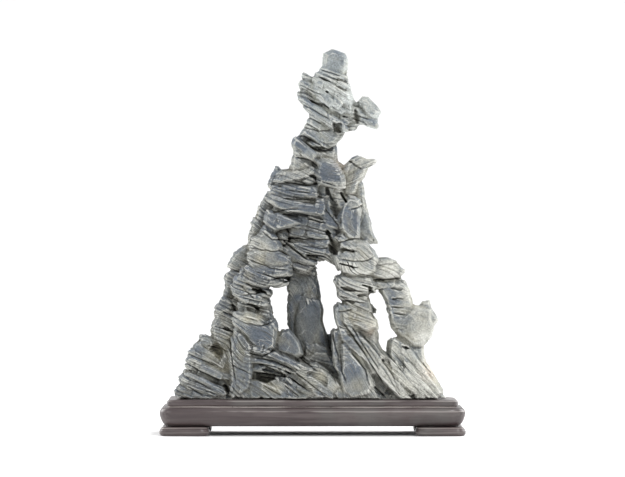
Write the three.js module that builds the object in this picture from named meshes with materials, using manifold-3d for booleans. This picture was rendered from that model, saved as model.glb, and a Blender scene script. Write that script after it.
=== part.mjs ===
// A scholar's rock of the stepped mountain kind on its low hardwood stand.
// The stone is one natural piece: a steep, layered peak of grey limestone that stands on
// several legs, with see-through arches between them. The stand is a carved plinth on four pads.
// Millimetres, +Z up, +X to the viewer's right, +Y away from the viewer.
// The origin is on the table, under the middle of the stand.

import * as THREE from "three";
import { mergeVertices } from "three/addons/utils/BufferGeometryUtils.js";
import Module from "manifold-3d";

// ---------------------------------------------------------------- driving dimensions

const PLINTH_LENGTH = 305; // over the bulge of the rail
const PLINTH_DEPTH = 118;
const PLINTH_CORNER = 16; // plan radius of the plinth's corners
const FOOT_HEIGHT = 9.1;
const PLINTH_BOTTOM = 9.4; // 0.3 above the pads
const PLINTH_TOP = 35.4;

const SOCKET_DEPTH = 3; // recess in the plinth that the stone's foot drops into
const CLEARANCE = 0.4; // between stone and wood, all round the socket
const SEAT = PLINTH_TOP + CLEARANCE; // lowest level of the stone outside its socket

const FOOT_LENGTH = 50;
const FOOT_DEPTH = 36;
const FOOT_CORNER = 9;

const CRAG = 0.9; // how far a corner of the stone's blocks strays in depth
const BEVEL_SHARE = 0.3; // share of a block's depth taken by each sloping rim
const STONE_FACES = 8300; // the stone is weathered down to this many flat faces

// ---------------------------------------------------------------- solids

const wasm = await Module();
wasm.setup();

// The same geometry with only its positions, and each corner stored once.
function welded(geometry) {
  const bare = new THREE.BufferGeometry()
    .setAttribute("position", geometry.getAttribute("position"))
    .setIndex(geometry.index);
  return mergeVertices(bare, 1e-4);
}

function solidFrom(geometry) {
  const { attributes, index } = welded(geometry);
  return new wasm.Manifold(
    new wasm.Mesh({
      numProp: 3,
      vertProperties: attributes.position.array,
      triVerts: new Uint32Array(index.array),
    }),
  );
}

// A solid's corners and faces, as a list of points and a list of corner triples.
function facesOf(solid) {
  const { vertProperties, triVerts } = solid.getMesh();
  const points = Array.from({ length: vertProperties.length / 3 }, (_, i) =>
    new THREE.Vector3().fromArray(vertProperties, 3 * i),
  );
  const faces = Array.from({ length: triVerts.length / 3 }, (_, f) =>
    Array.from(triVerts.slice(3 * f, 3 * f + 3)),
  );
  return { points, faces };
}

function geometryFrom({ points, faces }) {
  return new THREE.BufferGeometry()
    .setFromPoints(points)
    .setIndex(faces.flat());
}

// The faces without the walls of sealed inner pockets, which are solid rock. A pocket's wall
// faces inwards, so the volume it encloses comes out negative.
function withoutPockets({ points, faces }) {
  const parent = points.map((_, i) => i);
  const root = (i) => {
    while (parent[i] !== i) {
      parent[i] = parent[parent[i]];
      i = parent[i];
    }
    return i;
  };
  for (const [a, b, c] of faces) {
    parent[root(a)] = root(b);
    parent[root(b)] = root(c);
  }
  const volume = new Map();
  for (const [a, b, c] of faces) {
    const part = points[a].dot(points[b].clone().cross(points[c])) / 6;
    volume.set(root(a), (volume.get(root(a)) ?? 0) + part);
  }
  return { points, faces: faces.filter(([a]) => volume.get(root(a)) > 0) };
}

// The weathered solid: corners that matter least to the shape are drawn into a neighbour until
// `most` faces are left. Each step keeps the surface closed and turns no face over.
function weathered({ points, faces }, most) {
  const normal = ([a, b, c]) => b.clone().sub(a).cross(c.clone().sub(a));
  const corners = (face) => face.map((i) => points[i]);
  const around = points.map(() => new Set());
  faces.forEach((face) => face.forEach((i) => around[i].add(face)));
  const planes = points.map((_, i) =>
    [...around[i]].map((face) => new THREE.Plane().setFromCoplanarPoints(...corners(face))),
  );
  // how far the point strays from the faces that first met at corners a and b
  const harm = (a, b, point) =>
    Math.max(...[...planes[a], ...planes[b]].map((plane) => Math.abs(plane.distanceToPoint(point))));
  const neighbours = (i) => new Set([...around[i]].flat().filter((j) => j !== i));
  const thickness = (n, triangle) =>
    n.length() / Math.max(...triangle.map((p, k) => p.distanceTo(triangle[(k + 1) % 3])), 1e-9);

  function staysSound(i, other, point) {
    return [...around[i]].every((face) => {
      if (face.includes(other)) return true;
      const before = corners(face);
      const after = face.map((k) => (k === i ? point : points[k]));
      const [n0, n1] = [normal(before), normal(after)];
      const thin = Math.min(0.15, thickness(n0, before));
      return n1.dot(n0) > 0.3 * n1.length() * n0.length() && thickness(n1, after) >= thin;
    });
  }

  let count = faces.filter(([a]) => around[a].size).length;
  for (let limit = 0.02; count > most && limit < 8; limit *= 1.25) {
    for (let a = 0; a < points.length && count > most; a++) {
      for (const b of neighbours(a)) {
        const shared = [...neighbours(a)].filter((i) => neighbours(b).has(i));
        if (shared.length !== 2) continue;
        const middle = points[a].clone().lerp(points[b], 0.5);
        const [point, cost] = [points[b], points[a], middle]
          .map((candidate) => [candidate, harm(a, b, candidate)])
          .reduce((best, next) => (next[1] < best[1] ? next : best));
        if (cost > limit || !staysSound(a, b, point) || !staysSound(b, a, point)) continue;
        points[b] = point.clone();
        for (const face of [...around[a]]) {
          if (face.includes(b)) {
            face.forEach((i) => around[i].delete(face));
            face.gone = true;
            count -= 1;
          } else {
            face[face.indexOf(a)] = b;
            around[b].add(face);
          }
        }
        around[a].clear();
        planes[b] = [...planes[a], ...planes[b]];
        break;
      }
    }
  }
  const kept = points.map((_, i) => i).filter((i) => around[i].size);
  const place = new Map(kept.map((i, k) => [i, k]));
  return {
    points: kept.map((i) => points[i]),
    faces: faces.filter((face) => !face.gone).map((face) => face.map((i) => place.get(i))),
  };
}

// A number from -1 to 1 that is always the same at the same place.
function stray(x, y, z) {
  const wave = Math.sin(x * 12.99 + y * 78.23 + z * 37.72) * 4375.85;
  return 2 * (wave - Math.floor(wave)) - 1;
}

// One block of the stone. Its outline is drawn from the front, as [x, z] points. It runs in
// depth from y[0] to y[1], and its rims slope inwards by "slope". "turn" and "lean" slant it
// in depth, to the right and upwards, which leaves the outline as it is drawn.
function block({ y, outline, slope = 3, turn = 0, lean = 0 }) {
  const [front, back] = y;
  const bevel = (back - front) * BEVEL_SHARE;
  const points = outline.map(([x, z]) => new THREE.Vector2(x, z));
  const prism = new THREE.ExtrudeGeometry(new THREE.Shape(points), {
    depth: back - front - 2 * bevel,
    bevelThickness: bevel,
    bevelSize: slope,
    bevelOffset: -slope,
    bevelSegments: 1,
  });
  const geometry = welded(prism.rotateX(Math.PI / 2).translate(0, back - bevel, 0));
  const middleX = points.reduce((sum, p) => sum + p.x, 0) / points.length;
  const middleZ = points.reduce((sum, p) => sum + p.y, 0) / points.length;
  const corner = geometry.getAttribute("position");
  for (let i = 0; i < corner.count; i++) {
    const [x, z] = [corner.getX(i), corner.getZ(i)];
    const slant = turn * (x - middleX) + lean * (z - middleZ);
    const rough = CRAG * stray(x, corner.getY(i), z);
    corner.setY(i, corner.getY(i) + slant + rough);
  }
  return solidFrom(geometry);
}

// A closed solid through a stack of rings that all have the same number of points.
function loft(rings) {
  const count = rings[0].length;
  const position = rings.flat().flatMap((p) => [p.x, p.y, p.z]);
  const index = [];
  rings.slice(1).forEach((_, layer) => {
    for (let i = 0; i < count; i++) {
      const a = layer * count + i;
      const b = layer * count + ((i + 1) % count);
      index.push(a, b, b + count, a, b + count, a + count);
    }
  });
  for (let i = 1; i < count - 1; i++) {
    const top = (rings.length - 1) * count;
    index.push(0, i + 1, i, top, top + i, top + i + 1);
  }
  return new THREE.BufferGeometry()
    .setAttribute("position", new THREE.Float32BufferAttribute(position, 3))
    .setIndex(index);
}

// A rounded rectangle at height z, counter-clockwise from above.
function roundedRing(length, depth, radius, z, steps) {
  const corners = [
    [1, 1, 0],
    [-1, 1, 1],
    [-1, -1, 2],
    [1, -1, 3],
  ];
  return corners.flatMap(([sx, sy, quarter]) =>
    Array.from({ length: steps + 1 }, (_, i) => {
      const angle = ((quarter + i / steps) * Math.PI) / 2;
      return new THREE.Vector3(
        sx * (length / 2 - radius) + radius * Math.cos(angle),
        sy * (depth / 2 - radius) + radius * Math.sin(angle),
        z,
      );
    }),
  );
}

// Rings that follow a moulding: each [inset, z] pair draws the rectangle in by inset.
function moulding(length, depth, radius, profile, steps) {
  return loft(
    profile.map(([inset, z]) =>
      roundedRing(length - 2 * inset, depth - 2 * inset, Math.max(radius - inset, 2), z, steps),
    ),
  );
}

// ---------------------------------------------------------------- the stone, block by block

// Crown, head and the plates that fan out to its left.
const spire = [
  // crown stone and the two thin collars under it
  {
    y: [-11, 12], slope: 4, turn: 0.1,
    outline: [
      [8, 361], [10, 373], [11, 383], [20, 387], [33, 383], [36, 377], [36, 367], [33, 359],
      [20, 356],
    ],
  },
  {
    y: [-13, 13], slope: 1.5, lean: 0.1,
    outline: [
      [6, 364], [8, 369], [12, 369], [24, 364], [35, 360], [36, 355], [22, 357], [8, 362],
    ],
  },
  {
    y: [-15, 15], slope: 2,
    outline: [
      [1, 359], [3, 363], [8, 364], [22, 357], [36, 354], [39, 348], [38, 345], [24, 350],
      [8, 356],
    ],
  },
  // smooth face of the head
  {
    y: [-17, 16], slope: 5, turn: 0.35,
    outline: [
      [0, 358], [8, 360], [24, 354], [39, 347], [44, 330], [42, 320], [40, 307], [32, 306],
      [22, 316], [8, 330], [-2, 343],
    ],
  },
  // fan of plates, from the top down
  {
    y: [-14, 6], slope: 1.5, turn: -0.2,
    outline: [
      [-11, 361], [-9, 363], [-4, 360], [6, 355], [20, 344], [32, 332], [28, 329], [12, 341],
      [-8, 355],
    ],
  },
  {
    y: [-19, 8], slope: 2, turn: -0.1,
    outline: [
      [-14, 353], [-11, 356], [-4, 355], [8, 348], [22, 337], [34, 324], [30, 320], [14, 330],
      [-2, 341], [-13, 348],
    ],
  },
  {
    y: [-16, 10], slope: 1.2,
    outline: [
      [-16, 343], [-14, 345], [-6, 342], [10, 334], [26, 323], [40, 314], [38, 311], [22, 318],
      [4, 329], [-10, 338],
    ],
  },
  {
    y: [-21, 12], slope: 3, turn: -0.2,
    outline: [
      [-14, 339], [-6, 338], [10, 329], [26, 318], [34, 312], [36, 304], [28, 302], [14, 308],
      [0, 316], [-5, 322], [-11, 330],
    ],
  },
  // arm to the right with the boulder on it
  {
    y: [-10, 10], slope: 2.5,
    outline: [
      [34, 324], [42, 330], [46, 329], [52, 324], [60, 320], [66, 316], [66, 310], [58, 311],
      [48, 310], [42, 305], [35, 305],
    ],
  },
  {
    y: [-12, 11], slope: 4,
    outline: [
      [46, 335], [50, 340], [56, 339], [61, 333], [68, 326], [69, 323], [66, 318], [62, 315],
      [55, 318], [49, 326],
    ],
  },
  {
    y: [-11, 8], slope: 1,
    outline: [
      [42, 317], [52, 318], [66, 313], [67, 310], [65, 306], [56, 309], [46, 311],
    ],
  },
  // rock between the plates, and a slab on the back of the head
  { y: [-13, 5], slope: 2, outline: [[-12, 339], [-9, 352], [0, 356], [8, 348], [8, 324], [-6, 324]] },
  {
    y: [6, 24], slope: 4, turn: -0.3, lean: 0.2,
    outline: [
      [0, 350], [16, 350], [32, 338], [38, 320], [24, 314], [6, 324], [-4, 338],
    ],
  },
  // block of the upper neck, and what joins it to the lower one behind the slot
  {
    y: [-17, 16], slope: 4, turn: 0.1, lean: -0.1,
    outline: [
      [-4, 321], [-6, 314], [-9, 308], [-14, 300], [-3, 295], [4, 290], [14, 288], [23, 290],
      [29, 297], [33, 304], [35, 312], [22, 318], [4, 324],
    ],
  },
  { y: [-2, 15], slope: 3, outline: [[-6, 300], [24, 300], [25, 278], [-8, 278]] },
];

// Lower neck and the dark wedge in front of it.
const neck = [
  {
    y: [-16, 17], slope: 3, turn: 0.2,
    outline: [
      [-14, 292], [-2, 287], [6, 285], [18, 285], [22, 288], [25, 282], [26, 275], [32, 269],
      [34, 260], [-21, 256], [-23, 264], [-21, 278],
    ],
  },
  {
    y: [-25, 4], slope: 2.5, turn: -0.2, lean: -0.2,
    outline: [
      [-20, 297], [-17, 299], [-12, 296], [-2, 288], [5, 282], [3, 274], [-1, 271], [-8, 277],
      [-19, 280], [-21, 289],
    ],
  },
  {
    y: [6, 24], slope: 3,
    outline: [
      [-14, 294], [-6, 298], [6, 294], [16, 282], [20, 260], [-16, 260],
    ],
  },
];

// The body of the peak, between the neck and the arches.
const body = [
  // horn and pale ledge of the left shoulder
  {
    y: [-14, 10], slope: 2.5,
    outline: [
      [-46, 248], [-42, 260], [-37, 269], [-34, 268], [-31, 262], [-34, 250], [-41, 244],
    ],
  },
  {
    y: [-26, 16], slope: 3, lean: 0.35,
    outline: [
      [-37, 262], [-32, 265], [-20, 266], [-8, 268], [2, 271], [6, 264], [-2, 257], [-18, 252],
      [-36, 249], [-40, 254],
    ],
  },
  // thick beds under it, and the squared pillar at their end
  {
    y: [-32, 12], slope: 3,
    outline: [
      [-40, 250], [-28, 252], [-8, 252], [6, 250], [8, 236], [-2, 234], [-22, 236], [-38, 238],
      [-44, 242],
    ],
  },
  {
    y: [-36, 8], slope: 3, lean: -0.2,
    outline: [
      [-42, 241], [-36, 242], [-20, 238], [0, 232], [9, 228], [11, 220], [2, 218], [-10, 220],
      [-26, 221], [-38, 227], [-44, 234],
    ],
  },
  {
    y: [-36, -10], slope: 1.5,
    outline: [
      [3, 236], [12, 238], [14, 230], [13, 220], [4, 218], [2, 228],
    ],
  },
  // brow that hangs over the middle like a fold of cloth
  {
    y: [-34, 4], slope: 4, turn: 0.1, lean: 0.15,
    outline: [
      [2, 260], [4, 274], [9, 278], [18, 277], [26, 270], [31, 262], [34, 252], [33, 247],
      [27, 244], [19, 249], [6, 250],
    ],
  },
  {
    y: [-24, 14], slope: 3, turn: -0.1,
    outline: [
      [4, 254], [28, 250], [33, 244], [34, 230], [30, 216], [26, 204], [14, 208], [4, 218],
    ],
  },
  // wing to the right, its beak, and the long ridge down from it
  {
    y: [-14, 14], slope: 3, turn: 0.25, lean: 0.1,
    outline: [
      [30, 268], [40, 278], [45, 280], [53, 278], [56, 268], [53, 260], [48, 254], [44, 242],
      [34, 236], [28, 248], [27, 260],
    ],
  },
  {
    y: [-8, 8], slope: 1.5, lean: 0.4,
    outline: [
      [42, 278], [46, 279], [54, 277], [62, 277], [65, 275], [63, 272], [56, 268], [52, 266],
      [44, 273],
    ],
  },
  {
    y: [-6, 14], slope: 2.5, turn: 0.4,
    outline: [
      [42, 260], [48, 256], [52, 250], [53, 243], [54, 232], [57, 219], [61, 204], [66, 191],
      [60, 191], [50, 194], [42, 196], [38, 218], [38, 243],
    ],
  },
  // pillar in front of the ridge
  {
    y: [-34, -2], slope: 2.5, turn: 0.15,
    outline: [
      [30, 230], [35, 237], [40, 238], [48, 236], [49, 224], [48, 210], [47, 195], [42, 193],
      [34, 198], [28, 206], [27, 218],
    ],
  },
  { y: [-30, -8], slope: 1.5, outline: [[36, 240], [43, 239], [50, 231], [47, 227], [39, 230]] },
  // core behind everything
  {
    y: [2, 32], slope: 6,
    outline: [
      [-38, 248], [-30, 260], [-10, 266], [16, 270], [34, 260], [40, 238], [42, 212], [36, 194],
      [24, 182], [10, 178], [-12, 174], [-30, 184], [-44, 208], [-44, 233],
    ],
  },
  {
    y: [-10, 24], slope: 3,
    outline: [
      [-38, 248], [-46, 243], [-52, 234], [-57, 222], [-62, 211], [-65, 198], [-66, 182],
      [-62, 172], [-44, 178], [-34, 203], [-32, 238],
    ],
  },
  // slabs that lie against the back of the peak
  {
    y: [20, 42], slope: 4, turn: -0.25, lean: -0.3,
    outline: [
      [-36, 236], [-26, 256], [-6, 262], [8, 250], [4, 228], [-16, 220], [-34, 222],
    ],
  },
  {
    y: [18, 40], slope: 4, turn: 0.3, lean: 0.25,
    outline: [
      [2, 252], [18, 262], [32, 252], [36, 228], [28, 210], [10, 214], [2, 232],
    ],
  },
  {
    y: [20, 44], slope: 4, turn: 0.1, lean: 0.3,
    outline: [
      [-40, 218], [-18, 226], [6, 220], [14, 200], [0, 186], [-24, 184], [-40, 198],
    ],
  },
  {
    y: [16, 38], slope: 3, turn: 0.35,
    outline: [
      [8, 216], [30, 214], [38, 200], [30, 184], [12, 182], [4, 196],
    ],
  },
  // wedge and flake under the beds
  {
    y: [-36, -6], slope: 2.5, lean: -0.1,
    outline: [
      [-49, 214], [-46, 226], [-34, 223], [-22, 218], [-11, 212], [-19, 208], [-30, 206],
      [-38, 203], [-44, 207],
    ],
  },
  { y: [-26, -6], slope: 1.5, outline: [[-26, 222], [-16, 220], [-8, 212], [-14, 206], [-26, 210]] },
  // ceiling of the middle arch
  {
    y: [-20, 10], slope: 3, lean: -0.25,
    outline: [
      [-22, 220], [-8, 222], [4, 218], [18, 212], [26, 204], [24, 194], [8, 190], [-10, 192],
      [-26, 198],
    ],
  },
  {
    y: [-18, 18], slope: 2,
    outline: [
      [-28, 194], [-10, 194], [10, 194], [24, 194], [26, 186], [24, 178], [6, 178], [-14, 182],
      [-26, 188],
    ],
  },
  {
    y: [-20, 14], slope: 2.5,
    outline: [
      [-30, 190], [-20, 188], [-8, 180], [4, 172], [2, 166], [-6, 160], [-14, 162], [-24, 170],
      [-30, 180],
    ],
  },
  {
    y: [-8, 22], slope: 3,
    outline: [
      [4, 188], [20, 190], [30, 184], [32, 170], [26, 164], [22, 169], [16, 173], [8, 174],
      [2, 170],
    ],
  },
];

// The left leg, from its pale cone down to the squared block.
const leftLeg = [
  {
    y: [-38, -6], slope: 4, turn: -0.1, lean: 0.3,
    outline: [
      [-64, 188], [-62, 196], [-54, 201], [-48, 210], [-42, 206], [-34, 197], [-30, 189],
      [-30, 180], [-46, 176], [-60, 178],
    ],
  },
  {
    y: [-42, -4], slope: 3,
    outline: [
      [-66, 182], [-58, 188], [-44, 186], [-30, 182], [-22, 178], [-21, 170], [-34, 166],
      [-52, 166], [-65, 172],
    ],
  },
  {
    y: [-44, -6], slope: 4, lean: -0.2,
    outline: [
      [-65, 176], [-50, 174], [-34, 170], [-21, 172], [-21, 159], [-30, 156], [-44, 155],
      [-56, 158], [-63, 164],
    ],
  },
  {
    y: [-36, -6], slope: 1.5,
    outline: [
      [-62, 166], [-54, 160], [-40, 156], [-30, 154], [-24, 152], [-25, 149], [-34, 148],
      [-48, 149], [-58, 154], [-64, 160],
    ],
  },
  // slanting slabs of the knee
  {
    y: [-32, 0], slope: 3,
    outline: [
      [-74, 163], [-66, 164], [-56, 156], [-46, 148], [-41, 144], [-40, 138], [-52, 136],
      [-66, 140], [-78, 148],
    ],
  },
  {
    y: [-38, -4], slope: 3, lean: -0.1,
    outline: [
      [-82, 150], [-78, 158], [-72, 162], [-62, 152], [-52, 142], [-43, 134], [-41, 129],
      [-48, 126], [-58, 126], [-70, 132], [-81, 140],
    ],
  },
  // two short posts between the knee and the block
  { y: [-30, -4], slope: 2, outline: [[-76, 136], [-64, 136], [-64, 120], [-76, 120]] },
  {
    y: [-28, -2], slope: 3,
    outline: [
      [-56, 130], [-44, 132], [-41, 128], [-39, 118], [-37, 112], [-56, 112],
    ],
  },
  // squared block and its pale top ledge
  {
    y: [-46, -6], slope: 3, turn: -0.12, lean: -0.15,
    outline: [
      [-81, 120], [-78, 124], [-66, 122], [-52, 118], [-46, 112], [-42, 116], [-37, 114],
      [-34, 108], [-35, 102], [-37, 86], [-48, 84], [-60, 90], [-72, 102], [-80, 110],
    ],
  },
  {
    y: [-40, -4], slope: 1.5, lean: 0.3,
    outline: [
      [-80, 123], [-72, 125], [-54, 121], [-44, 114], [-50, 112], [-66, 116], [-80, 118],
    ],
  },
];

// The stepped left flank, from the shoulder to the plinth.
const leftFlank = [
  {
    y: [-12, 14], slope: 2.5,
    outline: [
      [-78, 136], [-66, 146], [-44, 136], [-39, 122], [-38, 106], [-78, 104],
    ],
  },
  {
    y: [-4, 22], slope: 3,
    outline: [
      [-86, 168], [-84, 174], [-80, 181], [-73, 187], [-66, 191], [-58, 188], [-58, 164],
      [-78, 164],
    ],
  },
  {
    y: [-2, 24], slope: 2.5,
    outline: [
      [-90, 157], [-87, 162], [-80, 164], [-68, 164], [-68, 148], [-80, 144], [-88, 146],
    ],
  },
  {
    y: [0, 28], slope: 3,
    outline: [
      [-88, 148], [-84, 154], [-70, 158], [-62, 148], [-62, 118], [-80, 108], [-92, 118],
      [-90, 138],
    ],
  },
  {
    y: [-20, 10], slope: 1.5,
    outline: [
      [-92, 136], [-84, 138], [-78, 128], [-84, 122], [-96, 122], [-99, 126],
    ],
  },
  {
    y: [-16, 26], slope: 3, turn: -0.2,
    outline: [
      [-92, 135], [-90, 138], [-82, 138], [-78, 130], [-78, 98], [-82, 82], [-92, 82], [-99, 92],
      [-102, 102], [-101, 110], [-98, 116], [-99, 122],
    ],
  },
  // ledges, from the top down
  {
    y: [-18, 14], slope: 2.5,
    outline: [
      [-114, 94], [-113, 99], [-108, 100], [-100, 97], [-97, 88], [-104, 82], [-112, 86],
    ],
  },
  {
    y: [-24, 18], slope: 2,
    outline: [
      [-120, 88], [-118, 92], [-112, 93], [-102, 84], [-94, 78], [-90, 70], [-100, 70], [-112, 78],
      [-119, 82],
    ],
  },
  {
    y: [-28, 20], slope: 2,
    outline: [
      [-125, 77], [-125, 83], [-119, 87], [-110, 82], [-98, 74], [-88, 68], [-86, 60], [-98, 62],
      [-112, 68], [-122, 72],
    ],
  },
  {
    y: [-32, 24], slope: 2.5,
    outline: [
      [-128, 69], [-127, 76], [-121, 79], [-108, 74], [-92, 66], [-80, 62], [-80, 52], [-94, 54],
      [-112, 60], [-124, 64],
    ],
  },
  {
    y: [-36, 28], slope: 3,
    outline: [
      [-134, 50], [-134, 57], [-129, 64], [-122, 65], [-108, 59], [-94, 51], [-82, 46], [-80, 38],
      [-98, 38], [-120, 44],
    ],
  },
  {
    y: [-34, 24], slope: 1.6,
    outline: [
      [-134, SEAT], [-139, 42], [-135, 50], [-120, 50], [-98, 42], [-84, SEAT],
    ],
  },
  // cores, rear and front
  {
    y: [0, 34], slope: 5,
    outline: [
      [-118, SEAT], [-116, 58], [-108, 78], [-94, 94], [-84, 118], [-70, 128], [-58, 118],
      [-54, 88], [-48, 58], [-44, SEAT],
    ],
  },
  {
    y: [-26, 6], slope: 4,
    outline: [
      [-110, SEAT], [-104, 62], [-90, 82], [-80, 94], [-66, 94], [-56, 78], [-50, SEAT],
    ],
  },
  // upright strip that looks like bark
  {
    y: [-42, -10], slope: 2.5, turn: -0.3,
    outline: [
      [-82, 94], [-80, 106], [-76, 108], [-66, 98], [-60, 88], [-60, 74], [-60, 58], [-62, 46],
      [-72, 40], [-82, 46], [-84, 58], [-84, 78],
    ],
  },
  {
    y: [-40, -4], slope: 2,
    outline: [
      [-84, 52], [-72, 54], [-62, 48], [-52, 40], [-46, SEAT], [-82, SEAT],
    ],
  },
];

// The broken plates between the legs, on the plinth.
const floor = [
  // tongue of three plates over a dark hollow
  {
    y: [-44, -6], slope: 1.5, lean: 0.1,
    outline: [
      [-60, 90], [-50, 88], [-36, 84], [-20, 76], [-6, 70], [2, 68], [1, 62], [-12, 64], [-28, 72],
      [-44, 78], [-60, 82],
    ],
  },
  {
    y: [-40, -4], slope: 1.5,
    outline: [
      [-62, 82], [-46, 78], [-30, 72], [-14, 64], [-12, 59], [-28, 62], [-44, 68], [-62, 72],
    ],
  },
  {
    y: [-34, 0], slope: 1.5,
    outline: [
      [-62, 72], [-44, 68], [-28, 64], [-20, 60], [-34, 60], [-62, 64],
    ],
  },
  { y: [-14, 26], slope: 3, outline: [[-62, 88], [-30, 86], [0, 68], [10, SEAT], [-60, SEAT]] },
  // slabs that lean to the right
  {
    y: [-42, -4], slope: 2, lean: 0.3,
    outline: [
      [-66, 54], [-58, 56], [-44, 52], [-30, 46], [-20, 40], [-16, SEAT], [-62, SEAT],
    ],
  },
  {
    y: [-40, -8], slope: 1.5,
    outline: [
      [-44, 54], [-36, 58], [-28, 54], [-14, 44], [-4, SEAT], [-26, SEAT],
    ],
  },
  {
    y: [-38, -6], slope: 1.5,
    outline: [
      [-32, 60], [-26, 62], [-12, 52], [4, 42], [10, SEAT], [-8, SEAT],
    ],
  },
  {
    y: [-42, -4], slope: 2,
    outline: [
      [-20, 64], [-12, 68], [2, 60], [14, 50], [20, 42], [24, SEAT], [4, SEAT],
    ],
  },
  {
    y: [-36, 0], slope: 2.5,
    outline: [
      [-10, 70], [4, 74], [16, 64], [26, 50], [30, 42], [22, 38], [10, 50], [-8, 60],
    ],
  },
  {
    y: [-40, -6], slope: 1.5,
    outline: [
      [12, 60], [18, 62], [26, 52], [34, 42], [38, SEAT], [22, SEAT], [14, 48],
    ],
  },
  // squat stone at the foot of the left arch
  {
    y: [-34, -6], slope: 2.5,
    outline: [
      [-36, 98], [-31, 105], [-23, 106], [-19, 102], [-12, 93], [-8, 80], [-16, 76], [-36, 84],
    ],
  },
  {
    y: [-10, 32], slope: 4,
    outline: [
      [-18, 58], [-10, 78], [4, 86], [16, 84], [26, 68], [34, SEAT], [-20, SEAT],
    ],
  },
  {
    y: [8, 38], slope: 5,
    outline: [
      [-56, SEAT], [-50, 58], [-30, 70], [-10, 64], [10, 70], [30, 62], [44, 48], [50, SEAT],
    ],
  },
];

// The smooth column that stands back between the two main arches.
const middleColumn = [
  {
    y: [4, 30], slope: 3,
    outline: [
      [-25, 174], [-24, 158], [-26, 146], [-24, 138], [-10, 134], [8, 136], [7, 146], [5, 158],
      [3, 166], [-2, 174], [-12, 180],
    ],
  },
  {
    y: [2, 28], slope: 2.5, turn: -0.4,
    outline: [
      [-26, 141], [-26, 126], [-26, 110], [-22, 100], [-14, 90], [-8, 84], [0, 84], [4, 98],
      [0, 128], [-6, 140],
    ],
  },
  {
    y: [-2, 24], slope: 2.5, turn: 0.3,
    outline: [
      [-8, 138], [8, 136], [11, 124], [10, 114], [14, 102], [16, 92], [17, 84], [12, 76], [0, 78],
      [-4, 98], [-6, 118],
    ],
  },
  { y: [-6, 30], slope: 3, outline: [[-10, 90], [4, 94], [16, 88], [20, 78], [22, 58], [-8, 54]] },
  { y: [0, 20], slope: 1.5, outline: [[-10, 172], [0, 172], [5, 165], [2, 158], [-8, 160]] },
];

// The right leg: stacked beds above, steep plates and a dark sail-like face below.
const rightLeg = [
  {
    y: [-34, 2], slope: 3, turn: 0.1,
    outline: [
      [24, 198], [30, 204], [36, 198], [46, 194], [54, 194], [62, 184], [66, 174], [64, 164],
      [54, 158], [40, 158], [30, 162], [24, 170], [21, 180], [20, 192],
    ],
  },
  {
    y: [-32, 0], slope: 2.5,
    outline: [
      [22, 158], [30, 161], [44, 159], [58, 159], [64, 150], [64, 143], [56, 139], [44, 142],
      [30, 144], [24, 148],
    ],
  },
  {
    y: [-28, -4], slope: 1.2,
    outline: [
      [19, 154], [24, 156], [34, 154], [36, 146], [28, 144], [23, 148],
    ],
  },
  {
    y: [-30, 0], slope: 2.5,
    outline: [
      [23, 148], [36, 148], [56, 142], [58, 136], [60, 130], [64, 125], [62, 121], [50, 120],
      [38, 126], [32, 132], [25, 138],
    ],
  },
  {
    y: [-34, 0], slope: 3, lean: 0.2,
    outline: [
      [30, 132], [42, 130], [56, 124], [62, 120], [66, 114], [66, 106], [54, 102], [38, 110],
      [30, 120],
    ],
  },
  // upright blades along the arch
  {
    y: [-34, -8], slope: 1.5,
    outline: [
      [22, 126], [26, 131], [32, 130], [40, 116], [40, 102], [28, 102], [24, 110], [22, 118],
    ],
  },
  {
    y: [-36, -8], slope: 1.5, turn: -0.2,
    outline: [
      [19, 102], [22, 106], [28, 104], [30, 88], [30, 68], [26, 62], [21, 70], [19, 86],
    ],
  },
  // long slanting plates
  {
    y: [-38, -4], slope: 1.5,
    outline: [
      [30, 124], [34, 122], [44, 106], [58, 90], [72, 78], [70, 72], [56, 80], [42, 96], [30, 112],
    ],
  },
  {
    y: [-42, -8], slope: 1.5,
    outline: [
      [26, 108], [32, 106], [44, 92], [58, 78], [74, 64], [72, 58], [58, 68], [42, 82], [28, 96],
    ],
  },
  {
    y: [-40, -6], slope: 1.5,
    outline: [
      [50, 82], [60, 82], [74, 70], [84, 54], [90, 42], [82, 42], [70, 54], [56, 68],
    ],
  },
  // sail and its base
  {
    y: [-46, -10], slope: 3, turn: -0.15,
    outline: [
      [27, 92], [32, 94], [40, 84], [50, 72], [60, 58], [62, 50], [58, 40], [40, SEAT], [30, 42],
      [26, 58], [28, 68],
    ],
  },
  { y: [-42, -6], slope: 2, outline: [[28, 50], [46, 48], [62, 48], [68, SEAT], [30, SEAT]] },
  // core and rear buttress
  {
    y: [-26, 10], slope: 4, turn: 0.2,
    outline: [
      [44, 122], [62, 118], [66, 108], [66, 92], [70, 84], [78, 80], [84, 68], [80, 48],
      [70, SEAT], [50, SEAT], [44, 78],
    ],
  },
  {
    y: [0, 32], slope: 5,
    outline: [
      [30, SEAT], [32, 78], [30, 108], [34, 138], [36, 166], [46, 182], [54, 168], [56, 138],
      [58, 108], [60, 78], [72, 58], [84, SEAT],
    ],
  },
];

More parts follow.
